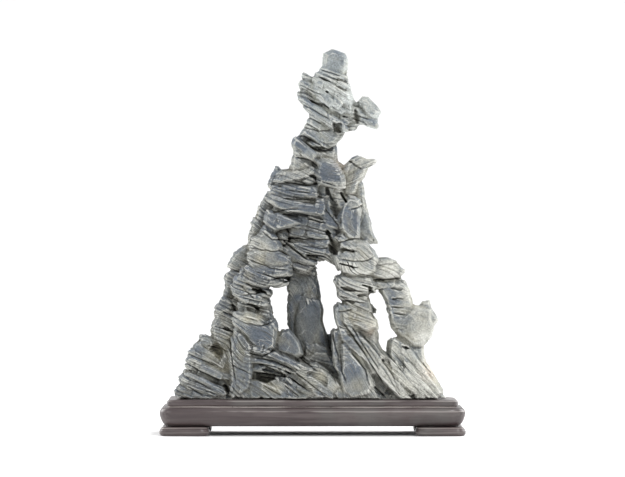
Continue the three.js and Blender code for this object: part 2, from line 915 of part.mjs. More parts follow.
// The outcrop that leans out to the right, and the hook that comes back to the base.
const hook = [
  {
    y: [-24, 4], slope: 2.5, lean: 0.1,
    outline: [
      [58, 172], [64, 176], [76, 177], [84, 174], [88, 169], [94, 166], [95, 163], [91, 159],
      [80, 156], [66, 157], [56, 159],
    ],
  },
  {
    y: [-16, 6], slope: 2.5,
    outline: [
      [54, 166], [66, 164], [84, 161], [88, 150], [72, 148], [64, 150], [56, 154],
    ],
  },
  {
    y: [-20, 8], slope: 3, turn: 0.1,
    outline: [
      [62, 155], [80, 154], [93, 155], [98, 146], [101, 134], [102, 128], [104, 118], [86, 110],
      [79, 110], [76, 120], [73, 133], [66, 145],
    ],
  },
  {
    y: [-22, 12], slope: 4,
    outline: [
      [76, 118], [90, 120], [102, 130], [109, 129], [120, 126], [122, 110], [121, 102], [116, 92],
      [110, 87], [101, 87], [87, 97], [79, 107],
    ],
  },
  {
    y: [-14, 10], slope: 2.5, lean: 0.1,
    outline: [
      [104, 120], [107, 129], [111, 134], [118, 134], [120, 126], [125, 119], [127, 114],
      [122, 108], [110, 110],
    ],
  },
];

// The steep plates of the right-hand base.
const rightBase = [
  { y: [-18, 16], slope: 3, outline: [[98, 90], [112, 88], [113, 78], [111, 70], [96, 68], [90, 82]] },
  {
    y: [-26, 0], slope: 2.5,
    outline: [
      [77, 82], [78, 94], [82, 98], [87, 95], [94, 86], [96, 72], [86, 60], [78, 68],
    ],
  },
  {
    y: [-28, 12], slope: 2,
    outline: [
      [88, 94], [96, 90], [104, 80], [112, 68], [122, 52], [130, 42], [126, 38], [114, 46],
      [100, 62], [88, 78],
    ],
  },
  {
    y: [-16, 18], slope: 3, turn: 0.4,
    outline: [
      [100, 88], [112, 84], [114, 72], [120, 65], [126, 54], [132, 44], [132, 40], [127, 38],
      [116, 42], [104, 58], [98, 72],
    ],
  },
  {
    y: [-36, 0], slope: 1.5,
    outline: [
      [76, 76], [84, 74], [96, 60], [108, 46], [114, SEAT], [104, SEAT], [92, 48], [78, 64],
    ],
  },
  {
    y: [-40, -4], slope: 1.5,
    outline: [
      [72, 64], [80, 62], [92, 48], [100, SEAT], [88, SEAT], [76, 48],
    ],
  },
  {
    y: [-34, 2], slope: 1.5,
    outline: [
      [90, 76], [98, 72], [110, 56], [122, 42], [126, SEAT], [116, SEAT], [104, 48], [92, 62],
    ],
  },
  {
    y: [-20, 30], slope: 4,
    outline: [
      [60, SEAT], [66, 58], [78, 76], [96, 78], [108, 60], [120, 46], [126, SEAT],
    ],
  },
  { y: [-10, 14], slope: 1.5, outline: [[112, 42], [128, 40], [136, SEAT], [112, SEAT]] },
];

// The blocks that stand out at the front have smaller partners at the back, a little off.
function behind(blocks, depth, [dx, dz]) {
  const partners = blocks.filter(({ y }) => y[0] < -depth);
  return partners.map(({ y, outline, slope = 3, turn = 0, lean = 0 }) => {
    const middleX = outline.reduce((sum, p) => sum + p[0], 0) / outline.length;
    const middleZ = outline.reduce((sum, p) => sum + p[1], 0) / outline.length;
    const shrunk = ([x, z]) => [
      x + dx + 0.1 * (middleX - x),
      Math.max(z + dz + 0.1 * (middleZ - z), SEAT),
    ];
    return {
      y: [6 - y[1], 4 - y[0]],
      slope: 0.8 * slope,
      turn: -turn,
      lean: -lean,
      outline: outline.map(shrunk),
    };
  });
}

// Plan outline of the stone's foot, which drops into the plinth's socket.
const footOutline = [
  [-118, -18], [-96, -30], [-60, -32], [-20, -30], [24, -32], [64, -30], [96, -26], [118, -8],
  [112, 14], [84, 24], [40, 28], [-10, 30], [-60, 28], [-98, 22], [-116, 8],
];

function planSolid(outline, bottom, top, grow) {
  const shape = new THREE.Shape(outline.map(([x, y]) => new THREE.Vector2(x, y)));
  const geometry = new THREE.ExtrudeGeometry(shape, {
    depth: top - bottom,
    bevelEnabled: grow > 0,
    bevelThickness: 0,
    bevelSize: grow,
    bevelSegments: 1,
  });
  return solidFrom(geometry.translate(0, 0, bottom));
}

function makeStone() {
  const front = [spire, neck, body, leftLeg, leftFlank, floor, middleColumn, rightLeg];
  const regions = [...front, hook, rightBase];
  regions.push(behind(body, 28, [1, -2]), behind(leftLeg, 34, [1, 2]), behind(rightLeg, 31, [-1, 2]));
  regions.push(behind(floor, 36, [2, 0]), behind(leftFlank, 23, [2, 1]), behind(rightBase, 25, [-3, 0]));
  const foot = planSolid(footOutline, PLINTH_TOP - SOCKET_DEPTH + CLEARANCE, SEAT + 4, 0);
  return regions.flat().map(block).reduce((whole, piece) => whole.add(piece), foot);
}

// ---------------------------------------------------------------- the stand

// [inset, height]: tucked-in underside, fat rounded rail, fine groove, upright top step
const RAIL_PROFILE = [
  [12, PLINTH_BOTTOM],
  [7.4, 10.2],
  [4.4, 12],
  [2.4, 15],
  [0.8, 18.8],
  [0, 22.4],
  [0.5, 25.2],
  [2, 27.2],
  [5, 28.4],
  [8.2, 28.8],
  [8.2, 29.5],
  [7.4, 30],
  [7.4, 34.2],
  [8.4, PLINTH_TOP],
];

const FOOT_PROFILE = [
  [3.6, 0],
  [0.6, 1.8],
  [0, 4.2],
  [0.9, 6.6],
  [2.2, 8.3],
  [4.6, FOOT_HEIGHT],
];

function makePlinth() {
  const blank = solidFrom(moulding(PLINTH_LENGTH, PLINTH_DEPTH, PLINTH_CORNER, RAIL_PROFILE, 5));
  const socket = planSolid(footOutline, PLINTH_TOP - SOCKET_DEPTH, PLINTH_TOP + 2, CLEARANCE);
  return blank.subtract(socket);
}

// ---------------------------------------------------------------- the group

const stoneGrey = new THREE.MeshStandardMaterial({ color: 0x8b9094, roughness: 0.85, metalness: 0 });
const darkWood = new THREE.MeshStandardMaterial({ color: 0x3a2b2a, roughness: 0.45, metalness: 0 });

const scholarsRock = new THREE.Group();

const rock = weathered(withoutPockets(facesOf(makeStone())), STONE_FACES);
const stone = new THREE.Mesh(geometryFrom(rock), stoneGrey);
stone.name = "stone";
scholarsRock.add(stone);

const plinth = new THREE.Mesh(geometryFrom(facesOf(makePlinth())), darkWood);
plinth.name = "plinth";
scholarsRock.add(plinth);

for (const [side, sx] of [["left", -1], ["right", 1]]) {
  for (const [end, sy] of [["front", -1], ["rear", 1]]) {
    const pad = moulding(FOOT_LENGTH, FOOT_DEPTH, FOOT_CORNER, FOOT_PROFILE, 3);
    const foot = new THREE.Mesh(pad, darkWood);
    foot.name = `foot_${end}_${side}`;
    foot.position.x = (sx * (PLINTH_LENGTH - FOOT_LENGTH)) / 2;
    foot.position.y = (sy * (PLINTH_DEPTH - FOOT_DEPTH)) / 2;
    scholarsRock.add(foot);
  }
}

export default scholarsRock;
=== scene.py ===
# %% [markdown]
# # A scholar's rock on its carved stand
#
# The model this scene starts from is made of flat-sided blocks: a stone built up from wedges and
# slabs, and a stand with plain pads. Here the stone gets what makes it a stone: thin beds that
# weather back one by one, cracks, chipped edges, and colours that follow the rock's structure.
#
# The steps are:
#
# 1. load the model and measure it,
# 2. work out how the rock's beds lie at every point,
# 3. turn the stone into a distance field, fill its gaps, cut hollows, carve the beds and cracks
#    into it, and mesh it again,
# 4. paint the rock from its own structure, with painted light and shade in places,
# 5. make the stand's mouldings with a node group that sweeps a profile round a rectangle,
# 6. set up the studio, the light and the camera.

import math

import bmesh
import bpy
import numpy as np
import openvdb
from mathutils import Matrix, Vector


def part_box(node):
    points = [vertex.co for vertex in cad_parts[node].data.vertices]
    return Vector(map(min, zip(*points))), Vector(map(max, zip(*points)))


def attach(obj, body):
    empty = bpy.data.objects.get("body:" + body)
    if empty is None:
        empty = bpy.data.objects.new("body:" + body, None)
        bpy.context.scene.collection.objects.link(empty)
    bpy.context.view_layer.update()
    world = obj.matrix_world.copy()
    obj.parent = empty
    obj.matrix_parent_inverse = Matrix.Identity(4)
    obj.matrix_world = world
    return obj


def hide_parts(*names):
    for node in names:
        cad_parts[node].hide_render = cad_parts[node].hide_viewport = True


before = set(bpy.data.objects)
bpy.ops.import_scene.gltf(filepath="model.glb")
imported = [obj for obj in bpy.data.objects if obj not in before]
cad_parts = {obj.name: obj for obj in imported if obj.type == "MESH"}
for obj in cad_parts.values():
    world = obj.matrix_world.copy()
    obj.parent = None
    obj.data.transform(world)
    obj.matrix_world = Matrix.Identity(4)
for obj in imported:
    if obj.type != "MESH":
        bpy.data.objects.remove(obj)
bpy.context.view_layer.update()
print("nodes:", ", ".join(sorted(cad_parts)))

MM = 0.001
VOXEL = 0.7  # millimetres between the samples of the distance field
BAND = 5.0  # millimetres either side of the surface that the field describes
stone_low, stone_high = (np.array(corner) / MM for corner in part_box("stone"))
plinth_low, plinth_high = (np.array(corner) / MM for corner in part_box("plinth"))
SEAT = plinth_high[2]  # height of the stand's top, where the stone begins
print("stone:", stone_low.round(1), "to", stone_high.round(1), "mm; stand top at", round(SEAT, 2))

# %% [markdown]
# ## Random fields that always come out the same
#
# `noise` is a smooth random field: random numbers on a grid, blended between grid points. Its
# `size` is the width of one bump in millimetres. Everything that looks accidental below, such as
# which layer breaks off where, is one of these fields with a fixed seed.


# %%
def noise(points, size, seed):
    """A smooth random value from -1 to 1 at each point; bumps are about `size` mm wide."""
    table = np.random.default_rng(seed).uniform(-1, 1, 32**3).astype(np.float32)
    places, shares = [], []  # per axis: table steps to the two grid neighbours, and their shares
    for row, stride in zip(points.T, (1024, 32, 1)):
        place = row / np.float32(size) + np.float32(500.0)
        cell = np.floor(place)
        part = place - cell
        part = part * part * (3 - 2 * part)
        cell = cell.astype(np.int32)
        places.append([(cell & 31) * stride, (cell + 1 & 31) * stride])
        shares.append([1 - part, part])
    total = np.zeros(len(points), np.float32)
    for corner in range(8):
        a, b, c = corner & 1, corner >> 1 & 1, corner >> 2 & 1
        index = places[0][a] + places[1][b] + places[2][c]
        total += shares[0][a] * shares[1][b] * shares[2][c] * table[index]
    return total


def smoothstep(low, high, value):
    """0 below low, 1 above high, and an even curve between."""
    t = np.clip((value - low) / (high - low), 0, 1)
    return t * t * (3 - 2 * t)


# %% [markdown]
# ## How the beds lie
#
# The rock is a stack of beds a few millimetres thick, and the stack was bent before it weathered.
# `BEDS` lists places on the stone, seen from the front in millimetres, with the slope of the beds
# there in degrees down to the right, and how deeply they have weathered apart (0 smooth, 1 raw).
#
# Near each place the height within the stack is a flat ramp. The ramps are raised or lowered so
# that neighbours agree half-way between them (a small least-squares problem), and blended.

# %%
BEDS = np.array([
    # x, z, slope, rawness
    (20, 378, 16, 0.05), (20, 362, 20, 0.5), (26, 340, 30, 0.35), (-6, 342, 30, 1.0),
    (4, 324, 32, 0.8), (14, 304, 30, 0.6), (44, 316, 14, 0.7), (58, 328, 25, 0.25),
    (-12, 290, 35, 0.25), (6, 276, 30, 0.6), (24, 272, -28, 0.5),
    (-34, 258, 8, 0.6), (-22, 246, 8, 0.75), (-26, 230, 12, 0.7), (0, 240, 8, 0.6),
    (18, 262, 24, 0.35), (20, 232, 12, 0.7), (50, 272, -18, 0.45), (56, 220, 70, 0.4),
    (40, 218, 8, 0.25), (-36, 214, 25, 0.6), (-56, 216, 48, 0.7), (8, 204, 15, 0.8),
    (0, 186, 8, 0.9), (-44, 190, 22, 0.5), (-42, 168, 6, 0.9), (-58, 148, 42, 0.9),
    (-46, 124, 45, 0.8), (-70, 128, 20, 0.7), (-52, 104, 16, 0.2), (-76, 178, 25, 0.8),
    (-88, 150, 20, 0.9), (-92, 114, 18, 0.7), (-106, 88, 24, 0.8), (-122, 62, 28, 0.8),
    (-96, 50, 30, 0.7), (-72, 84, 55, 0.8), (-44, 78, 18, 0.7), (-52, 48, 30, 0.8),
    (-14, 54, 40, 0.8), (14, 54, 42, 0.7), (-22, 94, 60, 0.5), (-8, 140, 82, 0.4),
    (-14, 112, 82, 0.12), (8, 104, 78, 0.2), (44, 186, 8, 0.7), (48, 154, 6, 0.85),
    (50, 134, 12, 0.7), (52, 114, 35, 0.6), (32, 118, 70, 0.7), (60, 84, 56, 0.8),
    (44, 68, 60, 0.2), (64, 48, 50, 0.7), (76, 168, 8, 0.8), (88, 140, 14, 0.6),
    (90, 116, 12, 0.3), (110, 112, 8, 0.15), (106, 78, 50, 0.5), (120, 52, 52, 0.45),
    (92, 56, 52, 0.6),
])
REACH = 15.0  # millimetres over which one place's slope gives way to the next


slope = np.radians(BEDS[:, 2])
tilt = 0.22 * np.sin(np.arange(len(BEDS)) * 2.4)  # towards the viewer or away, place by place
upward = np.stack([np.sin(slope), tilt, np.cos(slope)], axis=1)
upward /= np.linalg.norm(upward, axis=1, keepdims=True)
centre = np.stack([BEDS[:, 0], np.zeros(len(BEDS)), BEDS[:, 1]], axis=1)

rows, sums = [], []
for i in range(len(BEDS)):
    for j in range(i + 1, len(BEDS)):
        gap = centre[j] - centre[i]
        closeness = math.exp(-float(gap @ gap) / (2 * (1.6 * REACH) ** 2))
        if closeness > 0.01:
            row = np.zeros(len(BEDS))
            row[i], row[j] = closeness, -closeness
            rows.append(row)
            sums.append(-closeness * float((upward[i] + upward[j]) @ gap) / 2)
level = np.linalg.lstsq(np.array(rows), np.array(sums), rcond=None)[0]
print(len(BEDS), "bedding places, levels from", level.min().round(1), "to", level.max().round(1))


def bedding_at(across, up):
    """The beds behind each (x, z): stack height at y = 0, its rise per mm of y, and rawness."""
    total = np.zeros((3, len(across)), np.float32)
    weights = np.full(len(across), 1e-6, np.float32)
    for k, (x, z, _, rawness) in enumerate(BEDS):
        along_x, along_y, along_z = upward[k]
        away = (across - x) ** 2 + (up - z) ** 2
        weight = np.exp(-away / (2 * REACH**2)).astype(np.float32) + np.float32(1e-5)
        total[0] += weight * (along_x * (across - x) + along_z * (up - z) + level[k])
        total[1] += weight * along_y
        total[2] += weight * rawness
        weights += weight
    return total / weights


def height_in_stack(points, at_front, rise):
    """How far up the stack of beds each point lies, in millimetres."""
    bent = at_front + rise * points[:, 1]
    return bent + 1.1 * noise(points, 26, 11) + 0.45 * noise(points, 9, 12)


def strata(height, thinnest, thickest, seed):
    """Which bed each height falls in, and how far it is from the nearest joint between beds."""
    count = int(900 / thinnest)
    joints = -450 + np.cumsum(np.random.default_rng(seed).uniform(thinnest, thickest, count))
    bed = np.searchsorted(joints, height).clip(1, count - 1)
    distance = np.minimum(height - joints[bed - 1], joints[bed] - height)
    return bed, np.abs(distance).astype(np.float32)


# %% [markdown]
# ## The stone as a distance field
#
# The block model is one closed surface. OpenVDB turns it into a grid of distances to that
# surface, negative inside. Carving is then simple: adding to the distance moves the surface in,
# and taking away from it moves the surface out.

# %%
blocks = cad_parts["stone"].data
corners = np.zeros(len(blocks.vertices) * 3, np.float32)
blocks.vertices.foreach_get("co", corners)
blocks.calc_loop_triangles()
triangles = np.zeros(len(blocks.loop_triangles) * 3, np.int32)
blocks.loop_triangles.foreach_get("vertices", triangles)
corners, same = np.unique((corners.reshape(-1, 3) / MM).round(4), axis=0, return_inverse=True)
triangles = same.reshape(-1)[triangles].reshape(-1, 3).astype(np.uint32)

grid_of_blocks = openvdb.FloatGrid.createLevelSetFromPolygons(
    corners.astype(np.float32),
    triangles=triangles,
    transform=openvdb.createLinearTransform(voxelSize=VOXEL),
    halfWidth=BAND / VOXEL,
)
margin = 8
low = np.floor(stone_low / VOXEL).astype(int) - margin
high = np.ceil(stone_high / VOXEL).astype(int) + margin
distance = np.empty(tuple(high - low + 1), np.float32)
grid_of_blocks.copyToArray(distance, ijk=tuple(int(v) for v in low))
print("distance field:", distance.shape, "samples,", f"{distance.size / 1e6:.1f} million")

# %% [markdown]
# ## Growing the blocks together
#
# The blocks stand a little apart, where real rock has only a crack. Moving the surface out and
# then back in by the same amount fills the gaps that are too narrow to come back. Each move needs
# true distances, so the moved surface is meshed and measured again.
#
# Narrow gaps are filled nearly to the top. Wider ones are filled too, but only where they are
# more than a few millimetres deep, out of sight.


# %%
def to_array(grid):
    """The grid's values in the box that the whole stone fits in."""
    array = np.empty(tuple(high - low + 1), np.float32)
    grid.copyToArray(array, ijk=tuple(int(v) for v in low))
    return array


def closed_up(grid, width):
    """The distance to the solid once gaps narrower than twice `width` mm are filled."""
    places, tris, quads = grid.convertToPolygons(isovalue=width, adaptivity=0.0)
    grown = openvdb.FloatGrid.createLevelSetFromPolygons(
        places,
        triangles=tris,
        quads=quads,
        transform=openvdb.createLinearTransform(voxelSize=VOXEL),
        halfWidth=(BAND + width) / VOXEL,
    )
    return to_array(grown) + np.float32(width)


rock_before = float((distance < 0).sum()) * VOXEL**3 / 1000
narrow = np.maximum(closed_up(grid_of_blocks, 1.3), -BAND)
distance = np.minimum(distance, 0.8 * narrow + 0.2 * distance)
wide = closed_up(grid_of_blocks, 3.4) + np.float32(2.6)
distance = np.minimum(distance, np.maximum(wide, -BAND))
rock_after = float((distance < 0).sum()) * VOXEL**3 / 1000
print("rock:", round(rock_before), "cm3 before,", round(rock_after), "cm3 after growing together")

# %% [markdown]
# ## Lumps
#
# A few gaps between the blocks are wider than that. Egg-shaped lumps of rock fill them: a lump
# is added by keeping the smaller of the stone's distance and the lump's.

# %%
PLUGS = [
    # middle and radii of each lump, along x, y and z
    ((-12.5, 12, 77.5), (6, 6, 6)),
    ((8, -7, 292), (15, 9, 6)),
    ((-31, -8, 198), (8, 14, 9)),
    ((-4, -12, 254), (9, 14, 5)),
    ((-4, 8, 108), (14.5, 15, 36)),
    ((106, -14, 107), (16, 12.5, 17)),
    ((-52, -30, 161), (20, 18, 14)),
]
axis = [(np.arange(n) + start) * np.float32(VOXEL) for n, start in zip(distance.shape, low)]
for middle, radii in PLUGS:
    squares = [((a - c) / r) ** 2 for a, c, r in zip(axis, middle, radii)]
    away = np.sqrt(squares[0][:, None, None] + squares[1][None, :, None] + squares[2][None, None, :])
    lump = np.maximum((away - 1) * min(radii), -BAND).astype(np.float32)
    distance = np.minimum(distance, lump)
print(len(PLUGS), "lumps added")

# %% [markdown]
# ## Hollows
#
# Caves, slots and open cracks, each a line on the front of the stone with a radius and how far
# back it goes. Taking them away is the larger of the stone's distance and the hollow's depth.

# %%
HOLLOWS = [
    # radius, back, points (x, z)
    (1.7, -6, [(-2, 288), (15, 287)]),
    (1.6, -18, [(-30, 220.5), (-14, 220), (-6, 218.5), (7, 213), (23, 205)]),
    (6.5, -16, [(15, 246), (21, 233), (24, 218)]),
    (5.5, -6, [(15, 204), (20, 193), (22, 182)]),
    (1.2, -14, [(-28, 193), (-4, 174)]),
    (1.3, -16, [(-60, 146), (-46, 143)]),
    (1.6, -12, [(-80, 131), (-78, 125)]),
    (1.0, -18, [(-64, 130), (-54, 126)]),
    (3.0, -20, [(-52, 67), (-38, 63), (-26, 60)]),
    (1.2, -12, [(-89, 106), (-81, 103)]),
    (1.8, -14, [(-98, 79), (-90, 77)]),
    (1.6, -16, [(-88, 50), (-84, 42)]),
    (1.0, -8, [(60, 155), (75, 155.5), (89, 157)]),
    (2.0, -22, [(24, 187), (43, 183)]),
    (1.1, -24, [(25, 172), (46, 167)]),
    (3.0, -10, [(57, 148), (60, 132), (62, 118)]),
    (1.2, -6, [(90, 88.5), (97, 86)]),
    (1.0, -10, [(6, 359), (22, 352)]),
    (1.1, -12, [(-1, 334), (11, 331), (18, 326)]),
    (0.8, -10, [(31, 319), (40, 316)]),
    (0.9, -12, [(14, 344), (15.5, 343)]),
    (4.6, -8, [(22, 311), (28, 304)]),
    (3.6, -4, [(43, 326), (45, 314)]),
    (1.3, -16, [(29, 242), (34, 232)]),
    (3.0, -8, [(-78, 165), (-74, 160)]),
    (1.6, 0, [(61, 196), (61.5, 194)]),
    (1.3, -17, [(79, 147), (90, 146)]),
    (1.3, -17, [(80, 136.5), (91, 136)]),
    (1.2, -17, [(80, 128), (91, 127.5)]),
    (1.0, -18, [(82, 121), (92, 120.5)]),
    (1.5, -26, [(28, 147), (41, 145)]),
    (1.4, -26, [(44, 139), (58, 141)]),
    (1.3, -26, [(33, 134), (48, 131)]),
    (1.5, -24, [(50, 150), (60, 147)]),
    (1.2, -26, [(28, 139), (38, 136)]),
]


def line_distance(x, z, line):
    """How far each point (x, z) is from a line of straight pieces, and how far along it is."""
    nearest = np.full(x.shape, np.inf, np.float32)
    share = np.zeros(x.shape, np.float32)
    for k, ((x0, z0), (x1, z1)) in enumerate(zip(line, line[1:])):
        dx, dz = x1 - x0, z1 - z0
        along = np.clip(((x - x0) * dx + (z - z0) * dz) / (dx * dx + dz * dz), 0, 1)
        away = np.hypot(x - x0 - along * dx, z - z0 - along * dz)
        share = np.where(away < nearest, (k + along) / (len(line) - 1), share)
        nearest = np.minimum(nearest, away)
    return nearest, share


plan_x, plan_z = np.meshgrid(axis[0], axis[2], indexing="ij")
plan = np.stack([plan_x, 0 * plan_x, plan_z], axis=-1).reshape(-1, 3).astype(np.float32)
wander = noise(plan, 9, 22).reshape(plan_x.shape)  # how much wider or narrower a hollow is there

for radius, back, line in HOLLOWS:
    xs = [p[0] for p in line]
    zs = [p[1] for p in line]
    reach = radius + 4
    i0, i1 = np.searchsorted(axis[0], [min(xs) - reach, max(xs) + reach])
    k0, k1 = np.searchsorted(axis[2], [min(zs) - reach, max(zs) + reach])
    grid_x, grid_z = np.meshgrid(axis[0][i0:i1], axis[2][k0:k1], indexing="ij")
    away, share = line_distance(grid_x, grid_z, line)
    taper = 0.45 + 0.75 * np.sin(np.pi * share)
    width = (radius * taper * (1 + 0.5 * wander[i0:i1, k0:k1]))[:, None, :]
    ahead = np.clip((back - axis[1]) / (4 + 2 * radius), 0, 1)[None, :, None]
    depth = away[:, None, :] - width * np.sqrt(ahead)
    depth = np.maximum(depth, (axis[1] - back)[None, :, None])
    part = distance[i0:i1, :, k0:k1]
    distance[i0:i1, :, k0:k1] = np.maximum(part, np.minimum(-depth, BAND))
print(len(HOLLOWS), "hollows cut")

# %% [markdown]
# ## Blurring and sampling
#
# Two small tools: the mean of a field over a cube round each sample, and a field's value at any
# point. A blurred solid says how much rock surrounds a place.


# %%
def blurred(field, radius):
    """The mean of the field over a cube of about `radius` mm each way."""
    reach = max(1, round(radius / VOXEL))
    for axis in range(3):
        pad = [(0, 0)] * 3
        pad[axis] = (reach + 1, reach)
        running = np.cumsum(np.pad(field, pad, mode="edge"), axis=axis, dtype=np.float64)
        size = field.shape[axis]
        ahead = np.take(running, np.arange(2 * reach + 1, 2 * reach + 1 + size), axis=axis)
        behind = np.take(running, np.arange(size), axis=axis)
        field = ((ahead - behind) / (2 * reach + 1)).astype(np.float32)
    return field


def sampled(field, points):
    """The field's value at each point, blended between the samples around it."""
    place = points / VOXEL - low
    cell = np.floor(place).astype(int)
    part = place - cell
    total = np.zeros(len(points))
    for corner in range(8):
        step = np.array([corner & 1, corner >> 1 & 1, corner >> 2 & 1])
        weight = np.prod(np.where(step, part, 1 - part), axis=1)
        at = (cell + step).clip(0, np.array(field.shape) - 1)
        total += weight * field[at[:, 0], at[:, 1], at[:, 2]]
    return total


# %% [markdown]
# ## Carving the beds and the cracks
#
# Only the samples near the surface matter, so the fields are worked out for those alone.
#
# - Two sets of joints cut across the beds. Together with the beds they divide the rock into
#   blocks, and each block stands out or has broken back by its own amount, with flat faces.
# - The joint between two beds is opened into a groove in places.
# - Thinner leaves within the beds do the same on a smaller scale.
# - Small chips are knocked off here and there.
# - The open cracks in `CRACKS` are cut in from the front.

# %%
near = (distance > -0.97 * BAND) & (distance < 2.7)
index = np.argwhere(near)
points = ((index + low) * VOXEL).astype(np.float32)
columns = bedding_at(plan_x.ravel(), plan_z.ravel())
at_front, rise, raw = columns[:, index[:, 0] * len(axis[2]) + index[:, 2]]
raw = np.clip(raw + 0.25 * noise(points, 22, 21), 0.05, 1.1)
height = height_in_stack(points, at_front, rise)

CRACKS = [
    # points (x, z) along each open crack or ledge line on the front
    [(-13, 351), (10, 340)],
    [(-16, 342), (12, 328)],
    [(-15, 334), (18, 316)],
    [(-12, 323), (10, 311)],
    [(-11, 315), (8, 304)],
    [(8, 366), (28, 360)],
    [(39, 318), (56, 311)],
    [(41, 322), (57, 316)],
    [(-12, 309), (6, 304), (19, 307)],
    [(-10, 300), (10, 289)],
    [(-20, 279), (-2, 275), (6, 268)],
    [(-30, 254), (-1, 249)],
    [(-29, 245), (-1, 242)],
    [(-28, 236), (-1, 235)],
    [(-42, 222), (-12, 227)],
    [(13, 226), (26, 209)],
    [(28, 242), (35, 232)],
    [(-28, 197), (18, 195)],
    [(-12, 189), (18, 186)],
    [(-8, 180), (14, 178)],
    [(-28, 193), (-4, 174)],
    [(-65, 189), (-50, 184), (-34, 185), (-23, 179)],
    [(-66, 177), (-42, 167), (-23, 165)],
    [(-60, 165), (-37, 157), (-23, 159)],
    [(-50, 203), (-40, 195), (-25, 195)],
    [(-74, 139), (-50, 143), (-38, 137)],
    [(-72, 150), (-57, 135)],
    [(-70, 113), (-50, 109), (-37, 114)],
    [(-66, 83), (-50, 79), (-36, 85)],
    [(-83, 97), (-76, 51)],
    [(-80, 70), (-62, 62)],
    [(-128, 83), (-97, 69)],
    [(-129, 73), (-90, 53)],
    [(-130, 61), (-97, 44)],
    [(-126, 50), (-107, 38)],
    [(-107, 90), (-83, 83)],
    [(-99, 109), (-83, 104)],
    [(-90, 123), (-74, 117)],
    [(-86, 137), (-72, 133)],
    [(-98, 172), (-80, 163)],
    [(-62, 63), (-22, 57), (-2, 43)],
    [(-60, 78), (-38, 74), (-16, 64)],
    [(-58, 72), (-38, 69), (-18, 60)],
    [(-54, 58), (-34, 55)],
    [(-50, 50), (-30, 39)],
    [(-28, 50), (-12, 37)],
    [(-12, 75), (6, 63)],
    [(-20, 66), (12, 40)],
    [(-21, 160), (4, 154)],
    [(-22, 173), (6, 167)],
    [(24, 192), (48, 197)],
    [(25, 177), (50, 173), (62, 179)],
    [(27, 145), (54, 143), (78, 147)],
    [(29, 135), (54, 132)],
    [(25, 123), (40, 126)],
    [(27, 117), (43, 95), (60, 69), (72, 50)],
    [(36, 113), (54, 85), (68, 63)],
    [(46, 105), (64, 83), (80, 60), (90, 37)],
    [(20, 105), (27, 70)],
    [(27, 84), (29, 66), (34, 52)],
    [(38, 84), (52, 66), (58, 48)],
    [(72, 85), (90, 63), (112, 37)],
    [(80, 83), (100, 60), (118, 39)],
    [(86, 85), (108, 63), (128, 41)],
    [(60, 50), (74, 37)],
    [(72, 65), (88, 39)],
    [(77, 147), (90, 145)],
    [(78, 136), (90, 134)],
    [(79, 128), (92, 127)],
    [(80, 122), (94, 120)],
    [(83, 107), (92, 104)],
    [(62, 169), (86, 173), (95, 167)],
    [(36, 275), (48, 268)],
    [(39, 272), (51, 265)],
    [(35, 225), (50, 230)],
    [(58, 232), (62, 196)],
]


def to_nearest(points, lines, size, seed):
    """How far each point is, seen from the front, from the nearest of some wavering lines."""
    waver = 1.1 * noise(points, size, seed)
    across, up = points[:, 0] + waver, points[:, 2] - waver
    nearest = np.full(len(points), 9.0, np.float32)
    for line in lines:
        spread = np.array(line)
        low_x, low_z = spread.min(axis=0) - 6
        high_x, high_z = spread.max(axis=0) + 6
        close = (across > low_x) & (across < high_x) & (up > low_z) & (up < high_z)
        away, share = line_distance(across[close], up[close], line)
        away += 1.2 * np.maximum(0.12 - np.minimum(share, 1 - share), 0) * 8
        nearest[close] = np.minimum(nearest[close], away)
    return nearest


JOINTS = [
    # direction, closest and widest spacing in mm, seed
    ((0.88, 0.38, -0.28), 8.0, 30.0, 61),
    ((-0.42, 0.86, 0.28), 9.0, 28.0, 62),
]


def broken(points, cell, fineness, seed):
    """A value from -1 to 1 for the block of rock that each point is in."""
    key = cell.astype(np.int64) * 7919 + seed * 104729
    for direction, closest, widest, joint_seed in JOINTS:
        across = points @ np.array(direction, np.float32) + 2.2 * noise(points, 24, joint_seed)
        piece, _ = strata(across, closest * fineness, widest * fineness, joint_seed + seed)
        key = key * 31 + piece
    return np.random.default_rng(seed).uniform(-1, 1, 65536).astype(np.float32)[key & 65535]


def layers(points, height):
    """For the beds, then for the leaves in them: how far off a joint is, and the block's value."""
    bed, bed_joint = strata(height, 2.6, 7.0, 31)
    leaf, leaf_joint = strata(height, 1.4, 3.2, 35)
    return bed_joint, broken(points, bed, 0.8, 63), leaf_joint, broken(points, leaf, 0.45, 64)


bed_joint, bed_block, leaf_joint, leaf_block = layers(points, height)
drift = noise(points, 26, 33)
ledge = 1.45 * np.clip(bed_block + 0.6 * drift, -1, 1)
leaves = 0.95 * leaf_block * (0.6 + 0.6 * noise(points, 18, 36))

open_joint = smoothstep(-0.1, 0.6, noise(points, 15, 37) + 0.35 * raw)
groove = 1.5 * np.exp(-((bed_joint / 0.7) ** 2)) * open_joint
fine_groove = 0.5 * np.exp(-((leaf_joint / 0.45) ** 2)) * smoothstep(-0.3, 0.5, noise(points, 9, 38))

across = points @ np.array([0.86, 0.42, -0.28], np.float32) + 3.0 * noise(points, 20, 41)
_, crack = strata(across, 14.0, 38.0, 42)
cracks = 1.1 * np.exp(-((crack / 0.55) ** 2)) * smoothstep(0.1, 0.6, noise(points, 24, 43))
chips = 1.2 * smoothstep(0.35, 0.8, noise(points, 6, 44)) + 0.4 * noise(points, 3.2, 45)

opened = np.full(len(points), 9.0, np.float32)
in_front = points[:, 1] < 5
opened[in_front] = to_nearest(points[in_front], CRACKS, 8, 57)
crevice = 1.9 * np.exp(-((opened / 0.9) ** 2)) * smoothstep(5, -3, points[:, 1])
crevice *= 1 - 0.45 * smoothstep(60, 100, points[:, 0])

